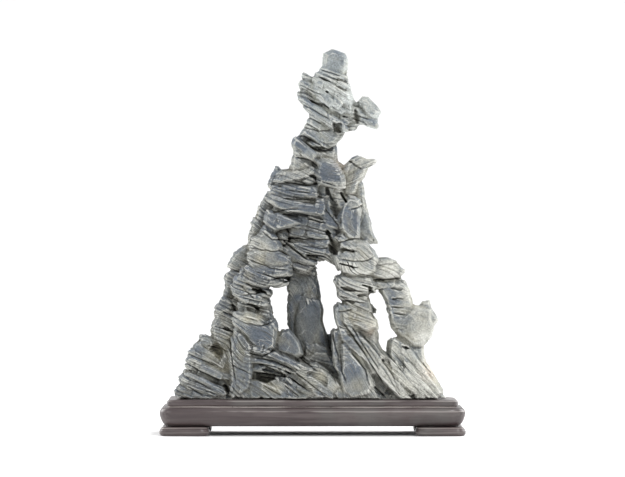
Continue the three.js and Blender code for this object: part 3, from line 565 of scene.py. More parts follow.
carve = raw * (ledge + leaves + groove + fine_groove) + (0.35 + 0.65 * raw) * cracks
carve += 0.3 * raw * chips + crevice
thickness = blurred(np.clip(0.5 - distance / VOXEL, 0, 1), 4.5)[near]
carve = np.where(carve > 0, carve * smoothstep(0.12, 0.42, thickness), carve)
carve *= smoothstep(SEAT, SEAT + 3, points[:, 2])
carved = distance.copy()
carved[near] += carve.astype(np.float32)
floor_level = np.float32(SEAT + 0.15)  # the stone ends just clear of the stand's top
carved = np.maximum(carved, (floor_level - axis[2])[None, None, :])
print("carving moves the surface by", carve.min().round(2), "to", carve.max().round(2), "mm")

# %% [markdown]
# ## Back to a surface
#
# OpenVDB meshes the carved field. Bits that the carving cut loose are thrown away, and the mesh
# is thinned where it is flat.


# %%
def biggest_part(vertices, faces):
    """The faces of the largest connected part, with its own vertices."""
    label = np.arange(len(vertices))
    while True:
        lowest = label[faces].min(axis=1)
        before = label.copy()
        for side in range(3):
            np.minimum.at(label, faces[:, side], lowest)
        label = label[label]
        if np.array_equal(label, before):
            break
    names, sizes = np.unique(label[faces[:, 0]], return_counts=True)
    kept = faces[label[faces[:, 0]] == names[sizes.argmax()]]
    used, place = np.unique(kept, return_inverse=True)
    print("kept", sizes.max(), "of", len(faces), "faces;", len(names) - 1, "loose bits dropped")
    return vertices[used], place.reshape(-1, 3)


carved_grid = openvdb.FloatGrid(BAND)
carved_grid.copyFromArray(carved, ijk=tuple(int(v) for v in low))
carved_grid.transform = openvdb.createLinearTransform(voxelSize=VOXEL)
surface, tris, quads = carved_grid.convertToPolygons(isovalue=0.0, adaptivity=0.0)
faces = np.concatenate([tris, quads[:, [0, 1, 2]], quads[:, [0, 2, 3]]]).astype(np.int64)
faces = faces[:, ::-1]  # in this order the faces, and so the normals, point into the rock
surface, faces = biggest_part(surface, faces)


def new_object(name, vertices, faces):
    """A mesh object from arrays of vertices, in millimetres, and faces."""
    mesh = bpy.data.meshes.new(name)
    mesh.vertices.add(len(vertices))
    mesh.vertices.foreach_set("co", (vertices * MM).astype(np.float32).ravel())
    sides = faces.shape[1]
    mesh.loops.add(faces.size)
    mesh.loops.foreach_set("vertex_index", faces.astype(np.int32).ravel())
    mesh.polygons.add(len(faces))
    mesh.polygons.foreach_set("loop_start", np.arange(0, faces.size, sides, dtype=np.int32))
    mesh.update(calc_edges=True)
    mesh.validate()
    thing = bpy.data.objects.new(name, mesh)
    bpy.context.scene.collection.objects.link(thing)
    return thing


def applied(thing):
    """Replaces the object's mesh by what its modifiers make of it, and removes them."""
    bpy.context.view_layer.update()
    seen = thing.evaluated_get(bpy.context.evaluated_depsgraph_get())
    made = bpy.data.meshes.new_from_object(seen)
    thing.modifiers.clear()
    thing.data = made
    return thing


rock = new_object("rock", surface, faces)
MOST = 190000
thin = rock.modifiers.new("thin", "DECIMATE")
thin.ratio = min(1.0, MOST / len(faces))
applied(rock)
rock.data.shade_smooth()
print("rock mesh:", len(rock.data.polygons), "faces")

# %% [markdown]
# ## What each point of the surface knows about itself
#
# The paint needs to know, at every vertex, whether it sits on an edge or in a hollow, which bed it
# belongs to, and how near a joint it is. Edges and hollows are found by blurring the solid: on a
# flat face half of the neighbourhood is rock, on an edge less, and in a crevice more.
#
# This mesh is wound so that its normals point into the rock, and the cells below use them as
# they are: going along a normal goes 2 mm inwards, and a normal that points up is on an underside.


# %%
solid = np.clip(0.5 - carved / VOXEL, 0, 1)
count = len(rock.data.vertices)
vertices = np.zeros(count * 3, np.float32)
rock.data.vertices.foreach_get("co", vertices)
vertices = vertices.reshape(-1, 3) / MM
normals = np.zeros(count * 3, np.float32)
rock.data.vertices.foreach_get("normal", normals)
normals = normals.reshape(-1, 3)

edge = 0.5 - sampled(blurred(solid, 1.2), vertices)  # above 0 on an edge, below in a groove
hollow = sampled(blurred(solid, 7.0), vertices + 2.0 * normals) - 0.42
print("edge", np.percentile(edge, [2, 50, 98]).round(2))
print("hollow", np.percentile(hollow, [2, 25, 50, 75, 98]).round(2))

# %% [markdown]
# ## Painting the rock
#
# Colours, light to dark: white calcite, cream and beige weathered skin, mid grey, slate blue where
# a face has broken clean, olive in the pits, partly dirt and partly painted shade, and near black
# as painted shade in the deep gaps and grooves. The skin is thick on edges, under ledges, on the
# right-hand side and at the top; clean faces look to the front or the back. On the edges, on the
# right-hand side and at the top its paleness is partly painted light: painted highlight on the
# rims, and painted light on the side and the top that face the light.
# `PATCHES` and `STAINS` are places on the front where the skin or the colour differs.


# %%
def linear(red, green, blue):
    """A colour given as 0-255 screen values, as the linear values that a shader works in."""
    value = np.array([red, green, blue]) / 255
    return np.where(value <= 0.04045, value / 12.92, ((value + 0.055) / 1.055) ** 2.4)


def mixed(first, second, share):
    """A blend of two colours, or lists of them: all first at share 0, all second at 1."""
    share = np.asarray(share)[:, None]
    return first * (1 - share) + second * share


CREAM = linear(213, 213, 206)
BEIGE = linear(179, 179, 171)
GREY = linear(139, 143, 142)
SLATE = linear(103, 111, 120)
DARK_SLATE = linear(78, 86, 96)
SAND = linear(168, 164, 146)
OLIVE = linear(92, 89, 70)
BROWN = linear(104, 90, 70)
PEACH = linear(204, 180, 160)
BLACK = linear(32, 31, 28)
DUST = linear(196, 190, 166)
CALCITE = linear(222, 224, 218)

points = vertices.astype(np.float32)
at_front, rise, raw = bedding_at(points[:, 0], points[:, 2])
height = height_in_stack(points, at_front, rise)
_, bed_tone, _, leaf_tone = layers(points, height)
underside = normals[:, 2]  # above 0 where the rock faces down
front_face = smoothstep(0.45, 0.9, np.abs(normals[:, 1]))  # front and back alike
front_side = smoothstep(6, -6, points[:, 1])

PATCHES = [
    # x, z, radius, how much paler (+) or how clean and slate blue (-)
    (-12, 292, 9, -0.6), (14, 262, 12, -0.7), (8, 225, 9, -0.5), (-16, 242, 15, -0.4),
    (-41, 258, 6, -0.5), (-38, 212, 12, -0.6), (41, 214, 10, -0.6), (45, 264, 9, -0.1),
    (-45, 162, 14, -0.4), (-52, 97, 15, -1.1), (44, 62, 15, -0.7), (84, 112, 8, -0.5),
    (91, 98, 8, -0.35), (-22, 92, 9, -0.5), (-12, 115, 15, -0.4), (-52, 159, 14, -0.5),
    (46, 105, 7, -0.5), (32, 338, 13, 0.45), (14, 280, 10, 0.4),
    (56, 225, 12, 0.3), (56, 276, 8, 0.6), (44, 176, 14, 0.35), (50, 145, 12, 0.45),
    (56, 112, 11, 0.7), (80, 168, 12, 0.35), (114, 108, 14, 0.6), (116, 60, 14, 0.35),
    (-48, 191, 10, 0.7), (-64, 119, 8, 0.6), (-4, 262, 10, 0.5), (-22, 266, 10, 0.4),
    (24, 350, 30, 0.55), (0, 235, 24, -0.42), (-15, 195, 20, -0.42), (104, 122, 14, 0.6),
    (105, 55, 30, 0.55), (62, 70, 20, 0.3), (-95, 60, 30, -0.15), (-120, 50, 20, -0.1),
    (-14, 150, 14, 0.2), (82, 132, 8, -0.5), (80, 145, 7, -0.4), (88, 170, 8, -0.3),
    (-38, 78, 10, -0.3), (-6, 340, 10, -0.4), (-4, 322, 10, -0.4), (20, 376, 12, -0.3),
    (-10, 110, 9, 0.3), (-2, 110, 6, -0.5), (10, 105, 5, 0.3), (36, 320, 12, 0.25),
    (62, 60, 18, 0.2),
]


def spot(x, z, radius):
    """1 at that place seen from the front, fading to nothing over about two radii."""
    away = (points[:, 0] - x) ** 2 + (points[:, 2] - z) ** 2
    return np.exp(-away / (radius * radius))


patch = np.zeros(count, np.float32)
for x, z, radius, amount in PATCHES:
    patch += amount * spot(x, z, radius)

skin_and_light = 0.5 + 0.2 * noise(points, 24, 53) + 0.18 * noise(points, 8, 54)
skin_and_light += 0.07 * bed_tone + 0.05 * leaf_tone + 0.55 * patch
skin_and_light += 0.5 * np.clip(underside, -0.4, 1) - 0.2 * front_face * (1.2 - raw)
# paler on edges, partly weathering and partly painted highlight; darker in grooves, painted shade
skin_and_light += 0.9 * np.clip(edge, -0.1, 0.15)
# paler on the right-hand side and at the top, which face the light: painted light
skin_and_light += 0.2 * smoothstep(30, 100, points[:, 0]) + 0.1 * smoothstep(290, 340, points[:, 2])
skin_and_light = np.clip(skin_and_light, 0, 1)

tint = mixed(SLATE, GREY, smoothstep(0.2, 0.46, skin_and_light))
tint = mixed(tint, BEIGE, smoothstep(0.48, 0.72, skin_and_light))
tint = mixed(tint, CREAM, smoothstep(0.74, 1.0, skin_and_light))
tint = mixed(tint, DARK_SLATE, 0.7 * smoothstep(0.3, -0.1, skin_and_light))
# shade_side weakens the painted shade below towards the right, which faces the light
shade_side = 1 - 0.6 * smoothstep(30, 90, points[:, 0])  # darker pits to the left
dusty = smoothstep(0.1, 0.24, hollow) * smoothstep(-0.3, 0.5, noise(points, 16, 55))
tint = mixed(tint, SAND, 0.5 * dusty)
# painted shade: olive in the pits, partly dirt, and near black in the deep pits and the grooves
tint = mixed(tint, OLIVE, 0.5 * smoothstep(0.2, 0.36, hollow) * shade_side)
tint = mixed(tint, BLACK, 0.36 * smoothstep(0.28, 0.48, hollow) * shade_side)
tint = mixed(tint, BLACK, 0.6 * smoothstep(0.05, 0.18, -edge) * shade_side)
cool = smoothstep(270, 310, points[:, 2])[:, None] * np.array([0.05, 0.0, -0.06])
tint = tint * (1 - cool)
# Some of the olive stains sit in hollows, where they are partly dirt and partly painted shade.
STAINS = [
    # x, z, radius, strength, colour
    (118, 62, 8, 0.4, PEACH), (14, 118, 4.5, 0.7, BROWN), (16, 98, 4.5, 0.7, BROWN),
    (12, 138, 4.5, 0.6, BROWN), (-6, 162, 10, 0.35, BROWN), (-94, 78, 7, 0.5, OLIVE),
    (60, 132, 6, 0.5, OLIVE), (43, 313, 5, 0.6, OLIVE), (24, 305, 5, 0.6, OLIVE),
    (-70, 84, 9, 0.3, OLIVE), (58, 104, 6, 0.3, PEACH), (28, 272, 7, 0.25, PEACH),
    (88, 104, 12, 0.2, SAND), (-12, 42, 8, 0.35, OLIVE), (-52, 36, 10, 0.3, OLIVE),
    (-93, 83, 8, 0.45, DUST), (-86, 67, 6, 0.45, DUST), (-104, 78, 5, 0.3, DUST),
    (-46, 50, 6, 0.5, DUST), (-36, 46, 6, 0.5, DUST), (8, 60, 6, 0.5, DUST),
    (0, 50, 6, 0.35, DUST), (-64, 117, 5, 0.7, DUST), (-54, 117, 4, 0.6, DUST), (-10, 58, 5, 0.35, DUST),
    (40, 118, 8, 0.35, DUST), (62, 112, 7, 0.35, DUST), (-54, 175, 6, 0.4, DUST),
    (-4, 128, 5, 0.3, DARK_SLATE), (-2, 116, 5, 0.4, DARK_SLATE), (-1, 104, 5, 0.4, DARK_SLATE),
    (0, 92, 6, 0.4, DARK_SLATE), (-15, 122, 5, 0.3, BEIGE), (-15, 110, 5, 0.4, BEIGE),
    (-14, 98, 5, 0.4, BEIGE), (-8, 110, 18, 0.2, OLIVE), (-60, 60, 30, 0.12, OLIVE),
    (-16, 214, 16, 0.25, DARK_SLATE), (14, 262, 9, 0.35, DARK_SLATE),
    (-16, 240, 12, 0.25, DARK_SLATE), (-38, 212, 8, 0.35, DARK_SLATE),
    (-52, 97, 11, 0.35, DARK_SLATE), (41, 214, 7, 0.3, DARK_SLATE), (-12, 292, 7, 0.35, DARK_SLATE),
    (44, 62, 9, 0.2, DARK_SLATE), (-52, 156, 9, 0.25, DARK_SLATE),
]
for x, z, radius, strength, stain in STAINS:
    tint = mixed(tint, stain, strength * spot(x, z, radius) * front_side)
print("skin_and_light", np.percentile(skin_and_light, [5, 50, 95]).round(2))


def add_attribute(mesh, name, kind, values):
    attribute = mesh.attributes.new(name, kind, "POINT")
    field = "color" if kind == "FLOAT_COLOR" else "value"
    attribute.data.foreach_set(field, np.asarray(values, np.float32).ravel())


rgba = np.concatenate([tint, np.ones((count, 1))], axis=1)
add_attribute(rock.data, "tint", "FLOAT_COLOR", rgba)
add_attribute(rock.data, "stack", "FLOAT", height)
add_attribute(rock.data, "rawness", "FLOAT", raw)
add_attribute(rock.data, "edge", "FLOAT", edge)

VEINS = [
    # points (x, z) along each vein of white calcite that shows on the front
    [(18, 275), (26, 265), (27, 257), (34, 249)],
    [(1, 271), (-10, 263), (-20, 254), (-31, 247)],
    [(2, 265), (1, 250), (3, 236)],
    [(0, 252), (48, 252)],
    [(14, 221), (46, 221)],
    [(-3, 222), (3, 205), (1, 190)],
    [(84, 107), (121, 107)],
    [(-22, 92), (16, 91)],
    [(-28, 250), (-40, 232), (-36, 222)],
    [(-26, 248), (-36, 236), (-28, 222)],
    [(-70, 60), (-60, 84), (-64, 98)],
    [(-66, 56), (-72, 92)],
    [(30, 46), (56, 47)],
    [(-30, 334), (0, 318), (24, 306)],
    [(22, 376), (24, 360)],
]
# the normals point inwards, so this leaves the veins off the faces that look to the front
to_vein = np.where(normals[:, 1] < 0.35, to_nearest(points, VEINS, 7, 56), 9.0)
add_attribute(rock.data, "vein", "FLOAT", to_vein)
to_crack = np.where(points[:, 1] < 0, to_nearest(points, CRACKS, 8, 57), 9.0)
add_attribute(rock.data, "crack", "FLOAT", to_crack)

# %% [markdown]
# ## Shader sums written as sums
#
# A long formula made of Math nodes is hard to read. `Socket` lets it be written with + and *.


# %%
class Socket:
    """A shader value that can be added, multiplied and so on, each time making a Math node."""

    def __init__(self, tree, output):
        self.tree, self.output = tree, output

    def math(self, operation, other=None, flip=False):
        node = self.tree.nodes.new("ShaderNodeMath")
        node.operation = operation
        operands = [self] if other is None else [other, self] if flip else [self, other]
        for socket, operand in zip(node.inputs, operands):
            connect(self.tree, socket, operand)
        return Socket(self.tree, node.outputs[0])

    def __add__(self, other):
        return self.math("ADD", other)

    def __mul__(self, other):
        return self.math("MULTIPLY", other)

    def __sub__(self, other):
        return self.math("SUBTRACT", other)

    def __rsub__(self, other):
        return self.math("SUBTRACT", other, flip=True)

    def __truediv__(self, other):
        return self.math("DIVIDE", other)

    def __pow__(self, other):
        return self.math("POWER", other)

    __radd__ = __add__
    __rmul__ = __mul__


def connect(tree, socket, value):
    """Links a Socket to a node's input, or sets the input to a plain number or colour."""
    if isinstance(value, Socket):
        tree.links.new(value.output, socket)
    else:
        socket.default_value = value


def node(tree, kind, inputs=(), output=0, **settings):
    """Adds a node, sets its properties and inputs, and returns one of its outputs."""
    made = tree.nodes.new(kind)
    for name, value in settings.items():
        setattr(made, name, value)
    for name, value in dict(inputs).items():
        connect(tree, made.inputs[name], value)
    return Socket(tree, made.outputs[output])


def noise_texture(tree, vector, scale, detail, **more):
    """Smooth noise from 0 to 1 with about `scale` bumps per metre."""
    inputs = {"Vector": vector, "Scale": scale, "Detail": detail, **more}
    return node(tree, "ShaderNodeTexNoise", inputs)


def mix_colours(tree, share, first, second):
    made = tree.nodes.new("ShaderNodeMix")
    made.data_type = "RGBA"
    connect(tree, made.inputs["Factor"], share)
    connect(tree, made.inputs[6], first)
    connect(tree, made.inputs[7], second)
    return Socket(tree, made.outputs[2])


def parts_of(tree, vector):
    """The x, y and z of a vector."""
    split = tree.nodes.new("ShaderNodeSeparateXYZ")
    tree.links.new(vector.output, split.inputs[0])
    return [Socket(tree, output) for output in split.outputs]


def new_material(name):
    material = bpy.data.materials.new(name)
    material.use_nodes = True
    tree = material.node_tree
    return material, tree, tree.nodes["Principled BSDF"]


def finish_material(tree, shader, colour, roughness, bump):
    connect(tree, shader.inputs["Base Color"], colour)
    connect(tree, shader.inputs["Roughness"], roughness)
    connect(tree, shader.inputs["Normal"], bump)


def steps(tree, value, low, high):
    """0 below low, 1 above high, with a smooth ramp between, as a Map Range node."""
    return node(
        tree,
        "ShaderNodeMapRange",
        {"Value": value, "From Min": low, "From Max": high},
        interpolation_type="SMOOTHSTEP",
    )


def bedding(tree, height, thickness):
    """(a random number for each leaf, how far inside the leaf a point is) for leaves that thick."""
    place = height / thickness
    leaf = dict(kind="ShaderNodeTexVoronoi", inputs={"W": place, "Scale": 1.0}, voronoi_dimensions="1D")
    number = node(tree, output="Color", **leaf)
    inside = node(tree, feature="DISTANCE_TO_EDGE", **leaf)
    split = tree.nodes.new("ShaderNodeSeparateColor")
    tree.links.new(number.output, split.inputs["Color"])
    return Socket(tree, split.outputs["Red"]), inside * thickness


stone_skin, tree, shader = new_material("stone_skin")
where = node(tree, "ShaderNodeTexCoord", output="Object")
tint = node(tree, "ShaderNodeAttribute", attribute_name="tint", output="Color")
stack, rawness, edge_here, to_vein, to_crack = (
    node(tree, "ShaderNodeAttribute", attribute_name=name, output="Fac")
    for name in ("stack", "rawness", "edge", "vein", "crack")
)
grain = noise_texture(tree, where, 620.0, 4.0, Roughness=0.7)
blotch = noise_texture(tree, where, 140.0, 4.0)
patchy = noise_texture(tree, where, 60.0, 3.0)
bent_stack = stack + 1.2 * blotch + 0.35 * grain
thick_number, thick_inside = bedding(tree, bent_stack, 3.1)
thin_number, thin_inside = bedding(tree, bent_stack, 1.25)

cracked = steps(tree, patchy + 0.3 * rawness, 0.55, 0.8)
thick_line = (1 - steps(tree, thick_inside, 0.05, 0.34)) * cracked
thin_line = (1 - steps(tree, thin_inside, 0.02, 0.22)) * steps(tree, blotch + 0.2 * rawness, 0.44, 0.64)
pale_line = (1 - steps(tree, thick_inside, 0.3, 0.75)) * (1 - thick_line) * cracked
cell_wall = node(
    tree,
    "ShaderNodeTexVoronoi",
    {"Vector": where, "Scale": 75.0},
    feature="DISTANCE_TO_EDGE",
)
netting = (1 - steps(tree, cell_wall + 0.03 * blotch, 0.02, 0.04)) * steps(tree, patchy, 0.5, 0.62)
calcite = 0.75 * (1 - steps(tree, to_vein + 0.5 * grain, 0.3, 0.9)) + 0.35 * netting

speck = steps(tree, grain, 0.32, 0.68)
bands = (0.02 + 0.12 * rawness) * (thick_number + thin_number)
shade = 0.63 + 0.54 * speck + 0.24 * blotch + bands - 0.12
grey_shade = node(tree, "ShaderNodeCombineColor", {"Red": shade, "Green": shade, "Blue": shade})
shaded = node(
    tree,
    "ShaderNodeMix",
    {"Factor": 1.0, 6: tint, 7: grey_shade},
    output=2,
    data_type="RGBA",
    blend_type="MULTIPLY",
)
black = (*BLACK, 1)
# pale rims on the edges and pale lines beside the bed joints: partly weathering, partly painted
# highlight
pale_rim_here = 0.35 + 0.65 * steps(tree, patchy, 0.42, 0.58)
worn_and_highlit = steps(tree, edge_here + 0.12 * grain, 0.14, 0.22) * pale_rim_here
colour = mix_colours(tree, 0.3 * pale_line + 0.65 * worn_and_highlit, shaded, (*CREAM, 1))
colour = mix_colours(tree, calcite, colour, (*CALCITE, 1))
# painted shade: near black lines in the open bed joints and the cracks, weaker to the right and at the
# top, which face the light
crack_line = (1 - steps(tree, to_crack + 0.4 * grain, 0.35, 0.95)) * steps(tree, blotch, 0.35, 0.5)
across, _, up = parts_of(tree, where)
line_shade_share = 1 - 0.6 * steps(tree, across, 0.03, 0.09) - 0.3 * steps(tree, up, 0.28, 0.33)
colour = mix_colours(tree, (0.8 * thick_line + 0.5 * thin_line) * line_shade_share, colour, black)
colour = mix_colours(tree, 0.85 * crack_line * line_shade_share, colour, black)

relief = rawness * (0.7 * thick_number + 0.45 * thin_number)
relief = relief + 0.9 * grain + 0.4 * blotch - 0.7 * thick_line - 0.35 * thin_line
bump = node(tree, "ShaderNodeBump", {"Height": relief, "Strength": 1.0, "Distance": 0.001})
finish_material(tree, shader, colour, 0.8, bump)
rock.data.materials.clear()
rock.data.materials.append(stone_skin)
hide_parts("stone")
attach(rock, "root")
print("stone material:", len(tree.nodes), "nodes")

# %% [markdown]
# ## The stand
#
# The plinth and its four feet are one rule with different numbers: a profile swept round a
# rectangle with rounded corners, closed by a flat lid above and below, and then bent a little so
# that it looks carved by hand. The rule is a node group. Its profile is a line of points, each an
# inset from the widest line and a height.

# %%
def sweep_group():
    """A node group that sweeps a profile round a rectangle with rounded corners and caps it."""
    tree = bpy.data.node_groups.new("moulding", "GeometryNodeTree")
    tree.interface.new_socket("Profile", in_out="INPUT", socket_type="NodeSocketGeometry")
    for name in ("Length", "Depth", "Corner", "Top", "Bottom", "Waviness", "Seed"):
        tree.interface.new_socket(name, in_out="INPUT", socket_type="NodeSocketFloat")
    tree.interface.new_socket("Middle", in_out="INPUT", socket_type="NodeSocketVector")
    tree.interface.new_socket("Material", in_out="INPUT", socket_type="NodeSocketMaterial")
    tree.interface.new_socket("Moulding", in_out="OUTPUT", socket_type="NodeSocketGeometry")
    group_input = tree.nodes.new("NodeGroupInput")
    given = {socket.name: Socket(tree, socket) for socket in group_input.outputs if socket.name}

    rectangle = node(
        tree,
        "GeometryNodeCurvePrimitiveQuadrilateral",
        {"Width": given["Length"], "Height": given["Depth"]},
    )
    rounded = node(
        tree,
        "GeometryNodeFilletCurve",
        {"Curve": rectangle, "Count": 12, "Radius": given["Corner"]},
        mode="POLY",
    )
    path = node(tree, "GeometryNodeResampleCurve", {"Curve": rounded, "Length": 0.003}, mode="LENGTH")
    path = node(tree, "GeometryNodeSetCurveNormal", {"Curve": path}, mode="Z_UP")

    profile = node(tree, "GeometryNodeMeshToCurve", {"Mesh": given["Profile"]})
    profile = node(tree, "GeometryNodeCurveSplineType", {"Curve": profile}, spline_type="CATMULL_ROM")
    profile = node(tree, "GeometryNodeSetSplineResolution", {"Geometry": profile, "Resolution": 4})
    swept = node(tree, "GeometryNodeCurveToMesh", {"Curve": path, "Profile Curve": profile})
    swept = node(tree, "GeometryNodeFlipFaces", {"Mesh": swept})

    where = node(tree, "GeometryNodeInputPosition")
    height = parts_of(tree, where)[2]
    middle_height = 0.5 * (given["Top"] + given["Bottom"])
    rim = node(tree, "GeometryNodeInputMeshEdgeNeighbors").math("LESS_THAN", 1.5)
    above = height.math("GREATER_THAN", middle_height)
    lids = []
    for side, lid_height in ((above, given["Top"]), (1 - above, given["Bottom"])):
        loop = node(tree, "GeometryNodeMeshToCurve", {"Mesh": swept, "Selection": rim * side})
        lid = node(tree, "GeometryNodeFillCurve", {"Curve": loop}, mode="TRIANGLES")
        lifted = combined(tree, parts_of(tree, where)[0], parts_of(tree, where)[1], lid_height)
        lids.append(node(tree, "GeometryNodeSetPosition", {"Geometry": lid, "Position": lifted}))
    lids[1] = node(tree, "GeometryNodeFlipFaces", {"Mesh": lids[1]})

    join = tree.nodes.new("GeometryNodeJoinGeometry")
    for piece in (swept, *lids):
        tree.links.new(piece.output, join.inputs[0])
    whole = Socket(tree, join.outputs[0])
    whole = node(tree, "GeometryNodeMergeByDistance", {"Geometry": whole, "Distance": 0.00002})

    shifted = vector_sum(tree, where, combined(tree, given["Seed"], 0.0, 0.0))
    slow = noise_texture(tree, shifted, 14.0, 1.0)
    quick = noise_texture(tree, shifted, 55.0, 1.0)
    amount = given["Waviness"] * ((slow - 0.5) * 4.0 + (quick - 0.5) * 1.0)
    rise = {"Value": height - given["Bottom"], "From Min": 0.0, "From Max": 0.004}
    free = node(tree, "ShaderNodeMapRange", rise)  # 0 at the foot, which stays flat
    whole = node(
        tree,
        "GeometryNodeSetPosition",
        {"Geometry": whole, "Offset": combined(tree, 0.0, amount * 0.7 * free, amount * free)},
    )
    whole = node(tree, "GeometryNodeTransform", {"Geometry": whole, "Translation": given["Middle"]})
    whole = node(tree, "GeometryNodeRealizeInstances", {"Geometry": whole})
    whole = node(tree, "GeometryNodeSetMaterial", {"Geometry": whole, "Material": given["Material"]})
    tree.links.new(whole.output, tree.nodes.new("NodeGroupOutput").inputs[0])
    return tree


def combined(tree, x, y, z):
    return node(tree, "ShaderNodeCombineXYZ", {"X": x, "Y": y, "Z": z})


def vector_sum(tree, first, second):
    return node(tree, "ShaderNodeVectorMath", {0: first, 1: second}, operation="ADD")


def swept_piece(name, profile, box, corner, waviness, seed, material):
    """The moulding with this profile that fills the box, and takes the place of node `name`."""
    low, high = (Vector(corner_point) for corner_point in box)
    line = bpy.data.meshes.new(name + "_profile")
    line.from_pydata(
        [(-inset * MM, -height * MM, 0) for inset, height in profile],
        [(i, i + 1) for i in range(len(profile) - 1)],
        [],
    )
    thing = bpy.data.objects.new("turned_" + name, line)
    bpy.context.scene.collection.objects.link(thing)
    sweep = thing.modifiers.new("moulding", "NODES")
    sweep.node_group = moulding
    values = {
        "Length": high.x - low.x,
        "Depth": high.y - low.y,
        "Corner": corner * MM,
        "Top": profile[-1][1] * MM,
        "Bottom": profile[0][1] * MM,
        "Waviness": waviness * MM,
        "Seed": float(seed),
        "Middle": ((low.x + high.x) / 2, (low.y + high.y) / 2, 0.0),
        "Material": material,
    }
    for item in moulding.interface.items_tree:
        if item.name in values:
            sweep[item.identifier] = values[item.name]
    applied(thing)
    thing.data.materials.clear()
    thing.data.materials.append(material)
    thing.data.polygons.foreach_set("material_index", [0] * len(thing.data.polygons))
    thing.data.shade_smooth()
    thing.data.set_sharp_from_angle(angle=math.radians(50))
    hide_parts(name)
    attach(thing, "root")
    work = bmesh.new()
    work.from_mesh(thing.data)
    open_edges = sum(1 for e in work.edges if len(e.link_faces) != 2)
    print(name, len(thing.data.polygons), "faces,", open_edges, "open edges,", end=" ")
    print(round(work.calc_volume(signed=True) / MM**3 / 1000, 1), "cm3")
    work.free()


moulding = sweep_group()

wood, tree, shader = new_material("dark_wood")
where = node(tree, "ShaderNodeTexCoord", output="Object")
stretch = node(tree, "ShaderNodeVectorMath", {0: where, 1: (0.06, 1.0, 1.0)}, operation="MULTIPLY")
fibres = noise_texture(tree, stretch, 900.0, 4.0, Roughness=0.7)
figure = noise_texture(tree, stretch, 160.0, 3.0, Distortion=0.4)
cloud = noise_texture(tree, where, 22.0, 3.0)
scuff = noise_texture(tree, where, 260.0, 3.0)
wood_height = parts_of(tree, where)[2]


def stripe(height, half_width):
    """1 on a thin level line round the stand at that height in millimetres."""
    away = (wood_height - height * MM + 0.0012 * (cloud - 0.5)).math("ABSOLUTE")
    return 1 - steps(tree, away, 0.4 * half_width * MM, half_width * MM)


DARK_WOOD, PALE_WOOD = (0.038, 0.024, 0.025, 1), (0.082, 0.063, 0.062, 1)
WORN_WOOD, PORE, PALE_DUST_AND_SHEEN = (0.09, 0.09, 0.083, 1), (0.026, 0.018, 0.018, 1), (0.5, 0.46, 0.43, 1)
brown = mix_colours(tree, steps(tree, figure, 0.35, 0.65), DARK_WOOD, PALE_WOOD)
brown = mix_colours(tree, 0.5 * steps(tree, cloud, 0.48, 0.7), brown, WORN_WOOD)
brown = mix_colours(tree, 0.4 * steps(tree, fibres, 0.5, 0.75), brown, PORE)
uneven = steps(tree, cloud, 0.4, 0.6)
# pale level lines round the stand: partly dust in the groove, partly painted highlight on the rounded
# shoulder, the top edge and the feet
dust_and_sheen = 0.9 * stripe(28.9, 0.45) * steps(tree, scuff, 0.2, 0.4) + 0.3 * stripe(24.6, 0.8) * uneven
dust_and_sheen = dust_and_sheen + 0.25 * stripe(34.6, 0.8) * uneven + 0.35 * stripe(8.0, 0.5) + 0.25 * stripe(3.4, 0.4)
brown = mix_colours(tree, dust_and_sheen, brown, PALE_DUST_AND_SHEEN)
gloss = 0.3 + 0.22 * fibres + 0.14 * cloud
marks = 0.3 * fibres + 0.5 * figure + 0.5 * scuff
bump = node(tree, "ShaderNodeBump", {"Height": marks, "Strength": 0.5, "Distance": 0.0005})
shader.inputs["Coat Weight"].default_value = 0.3
shader.inputs["Coat Roughness"].default_value = 0.22
finish_material(tree, shader, brown, gloss, bump)

RAIL = [
    # inset from the widest line, height, in millimetres
    (12.0, 9.4), (7.4, 10.2), (4.4, 12.0), (2.4, 15.0), (0.8, 18.8), (0.0, 22.4), (0.5, 25.2),
    (2.0, 27.2), (4.8, 28.2), (7.8, 28.4), (8.3, 28.8), (7.7, 29.5), (7.4, 30.6), (7.4, 33.6),
    (7.9, 34.8), (8.8, 35.4),
]
PAD = [
    (4.0, 0.0), (1.6, 0.6), (0.3, 2.2), (0.0, 4.2), (0.5, 5.8), (1.0, 6.4), (0.9, 7.0),
    (2.2, 8.3), (4.6, 9.1),
]
swept_piece("plinth", RAIL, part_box("plinth"), 16, 0.9, 3, wood)
for seed, name in enumerate(sorted(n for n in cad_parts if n.startswith("foot"))):
    swept_piece(name, PAD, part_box(name), 9, 0.35, 10 + seed, wood)

# %% [markdown]
# ## The studio
#
# A white room with soft light from above and both sides, and a long lens level with the middle.
# The picture is `VIEW_WIDTH` wide where the front of the rock is.

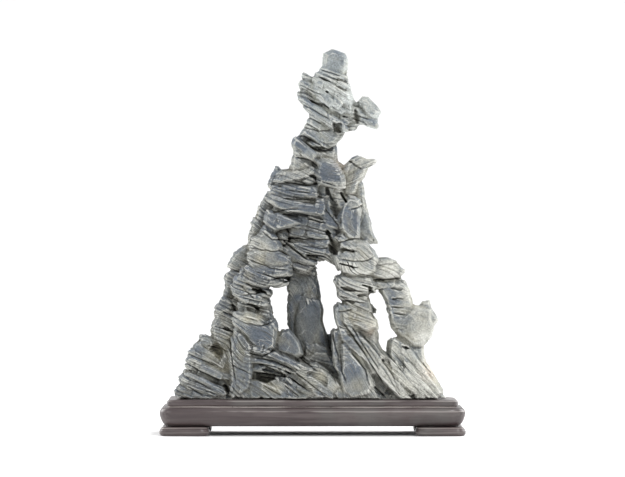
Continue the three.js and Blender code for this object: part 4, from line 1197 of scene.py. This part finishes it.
# %%
CAMERA_DISTANCE, CAMERA_HEIGHT = 4.0, 0.1965  # metres
VIEW_WIDTH, ROCK_FRONT, FILM_WIDTH = 0.625, 0.03, 36  # metres, metres, millimetres
AIM = (0, 0, 0.2)  # where the lights point
lens = bpy.data.cameras.new("camera")
lens.sensor_width = FILM_WIDTH
lens.lens = FILM_WIDTH * (CAMERA_DISTANCE - ROCK_FRONT) / VIEW_WIDTH
camera = bpy.data.objects.new("camera", lens)
camera.location = (0, -CAMERA_DISTANCE, CAMERA_HEIGHT)
camera.rotation_euler = (math.radians(90), 0, 0)
lens.clip_end = 100
bpy.context.scene.collection.objects.link(camera)
bpy.context.scene.camera = camera


def backdrop():
    """A floor that curves up into a wall behind the object."""
    across = np.linspace(-6, 6, 2)
    bend = np.radians(np.linspace(0, 90, 24))
    line = [(-8.0, 0.0)]
    line += [(2.0 + 1.5 * math.sin(a), 1.5 - 1.5 * math.cos(a)) for a in bend]
    line += [(3.5, 8.0)]
    vertices = np.array([(x, y, z) for x in across for y, z in line]) / MM
    n = len(line)
    faces = np.array([(i, i + 1, n + i + 1, n + i) for i in range(n - 1)])[:, ::-1]
    return new_object("backdrop", vertices, faces)


paper, tree, shader = new_material("paper")
shader.inputs["Base Color"].default_value = (0.94, 0.94, 0.94, 1)
shader.inputs["Roughness"].default_value = 0.9
sweep = backdrop()
sweep.data.materials.append(paper)
sweep.data.shade_smooth()

world = bpy.data.worlds.new("world")
bpy.context.scene.world = world
world.use_nodes = True
world.node_tree.nodes["Background"].inputs["Color"].default_value = (1, 1, 1, 1)
world.node_tree.nodes["Background"].inputs["Strength"].default_value = 0.75


def area_light(name, place, target, size, watts):
    lamp = bpy.data.lights.new(name, "AREA")
    lamp.shape = "DISK"
    lamp.size = size
    lamp.energy = watts
    thing = bpy.data.objects.new(name, lamp)
    thing.location = place
    thing.rotation_euler = (Vector(target) - Vector(place)).to_track_quat("-Z", "Y").to_euler()
    bpy.context.scene.collection.objects.link(thing)


area_light("key", (1.2, -2.0, 2.6), AIM, 0.9, 62)
area_light("fill", (-2.2, -2.0, 1.2), AIM, 1.6, 14)
area_light("left_side", (-1.7, 0.9, 0.9), AIM, 1.4, 30)
area_light("right_side", (1.7, 0.9, 0.9), AIM, 1.4, 34)
bpy.context.scene.view_settings.view_transform = "Standard"
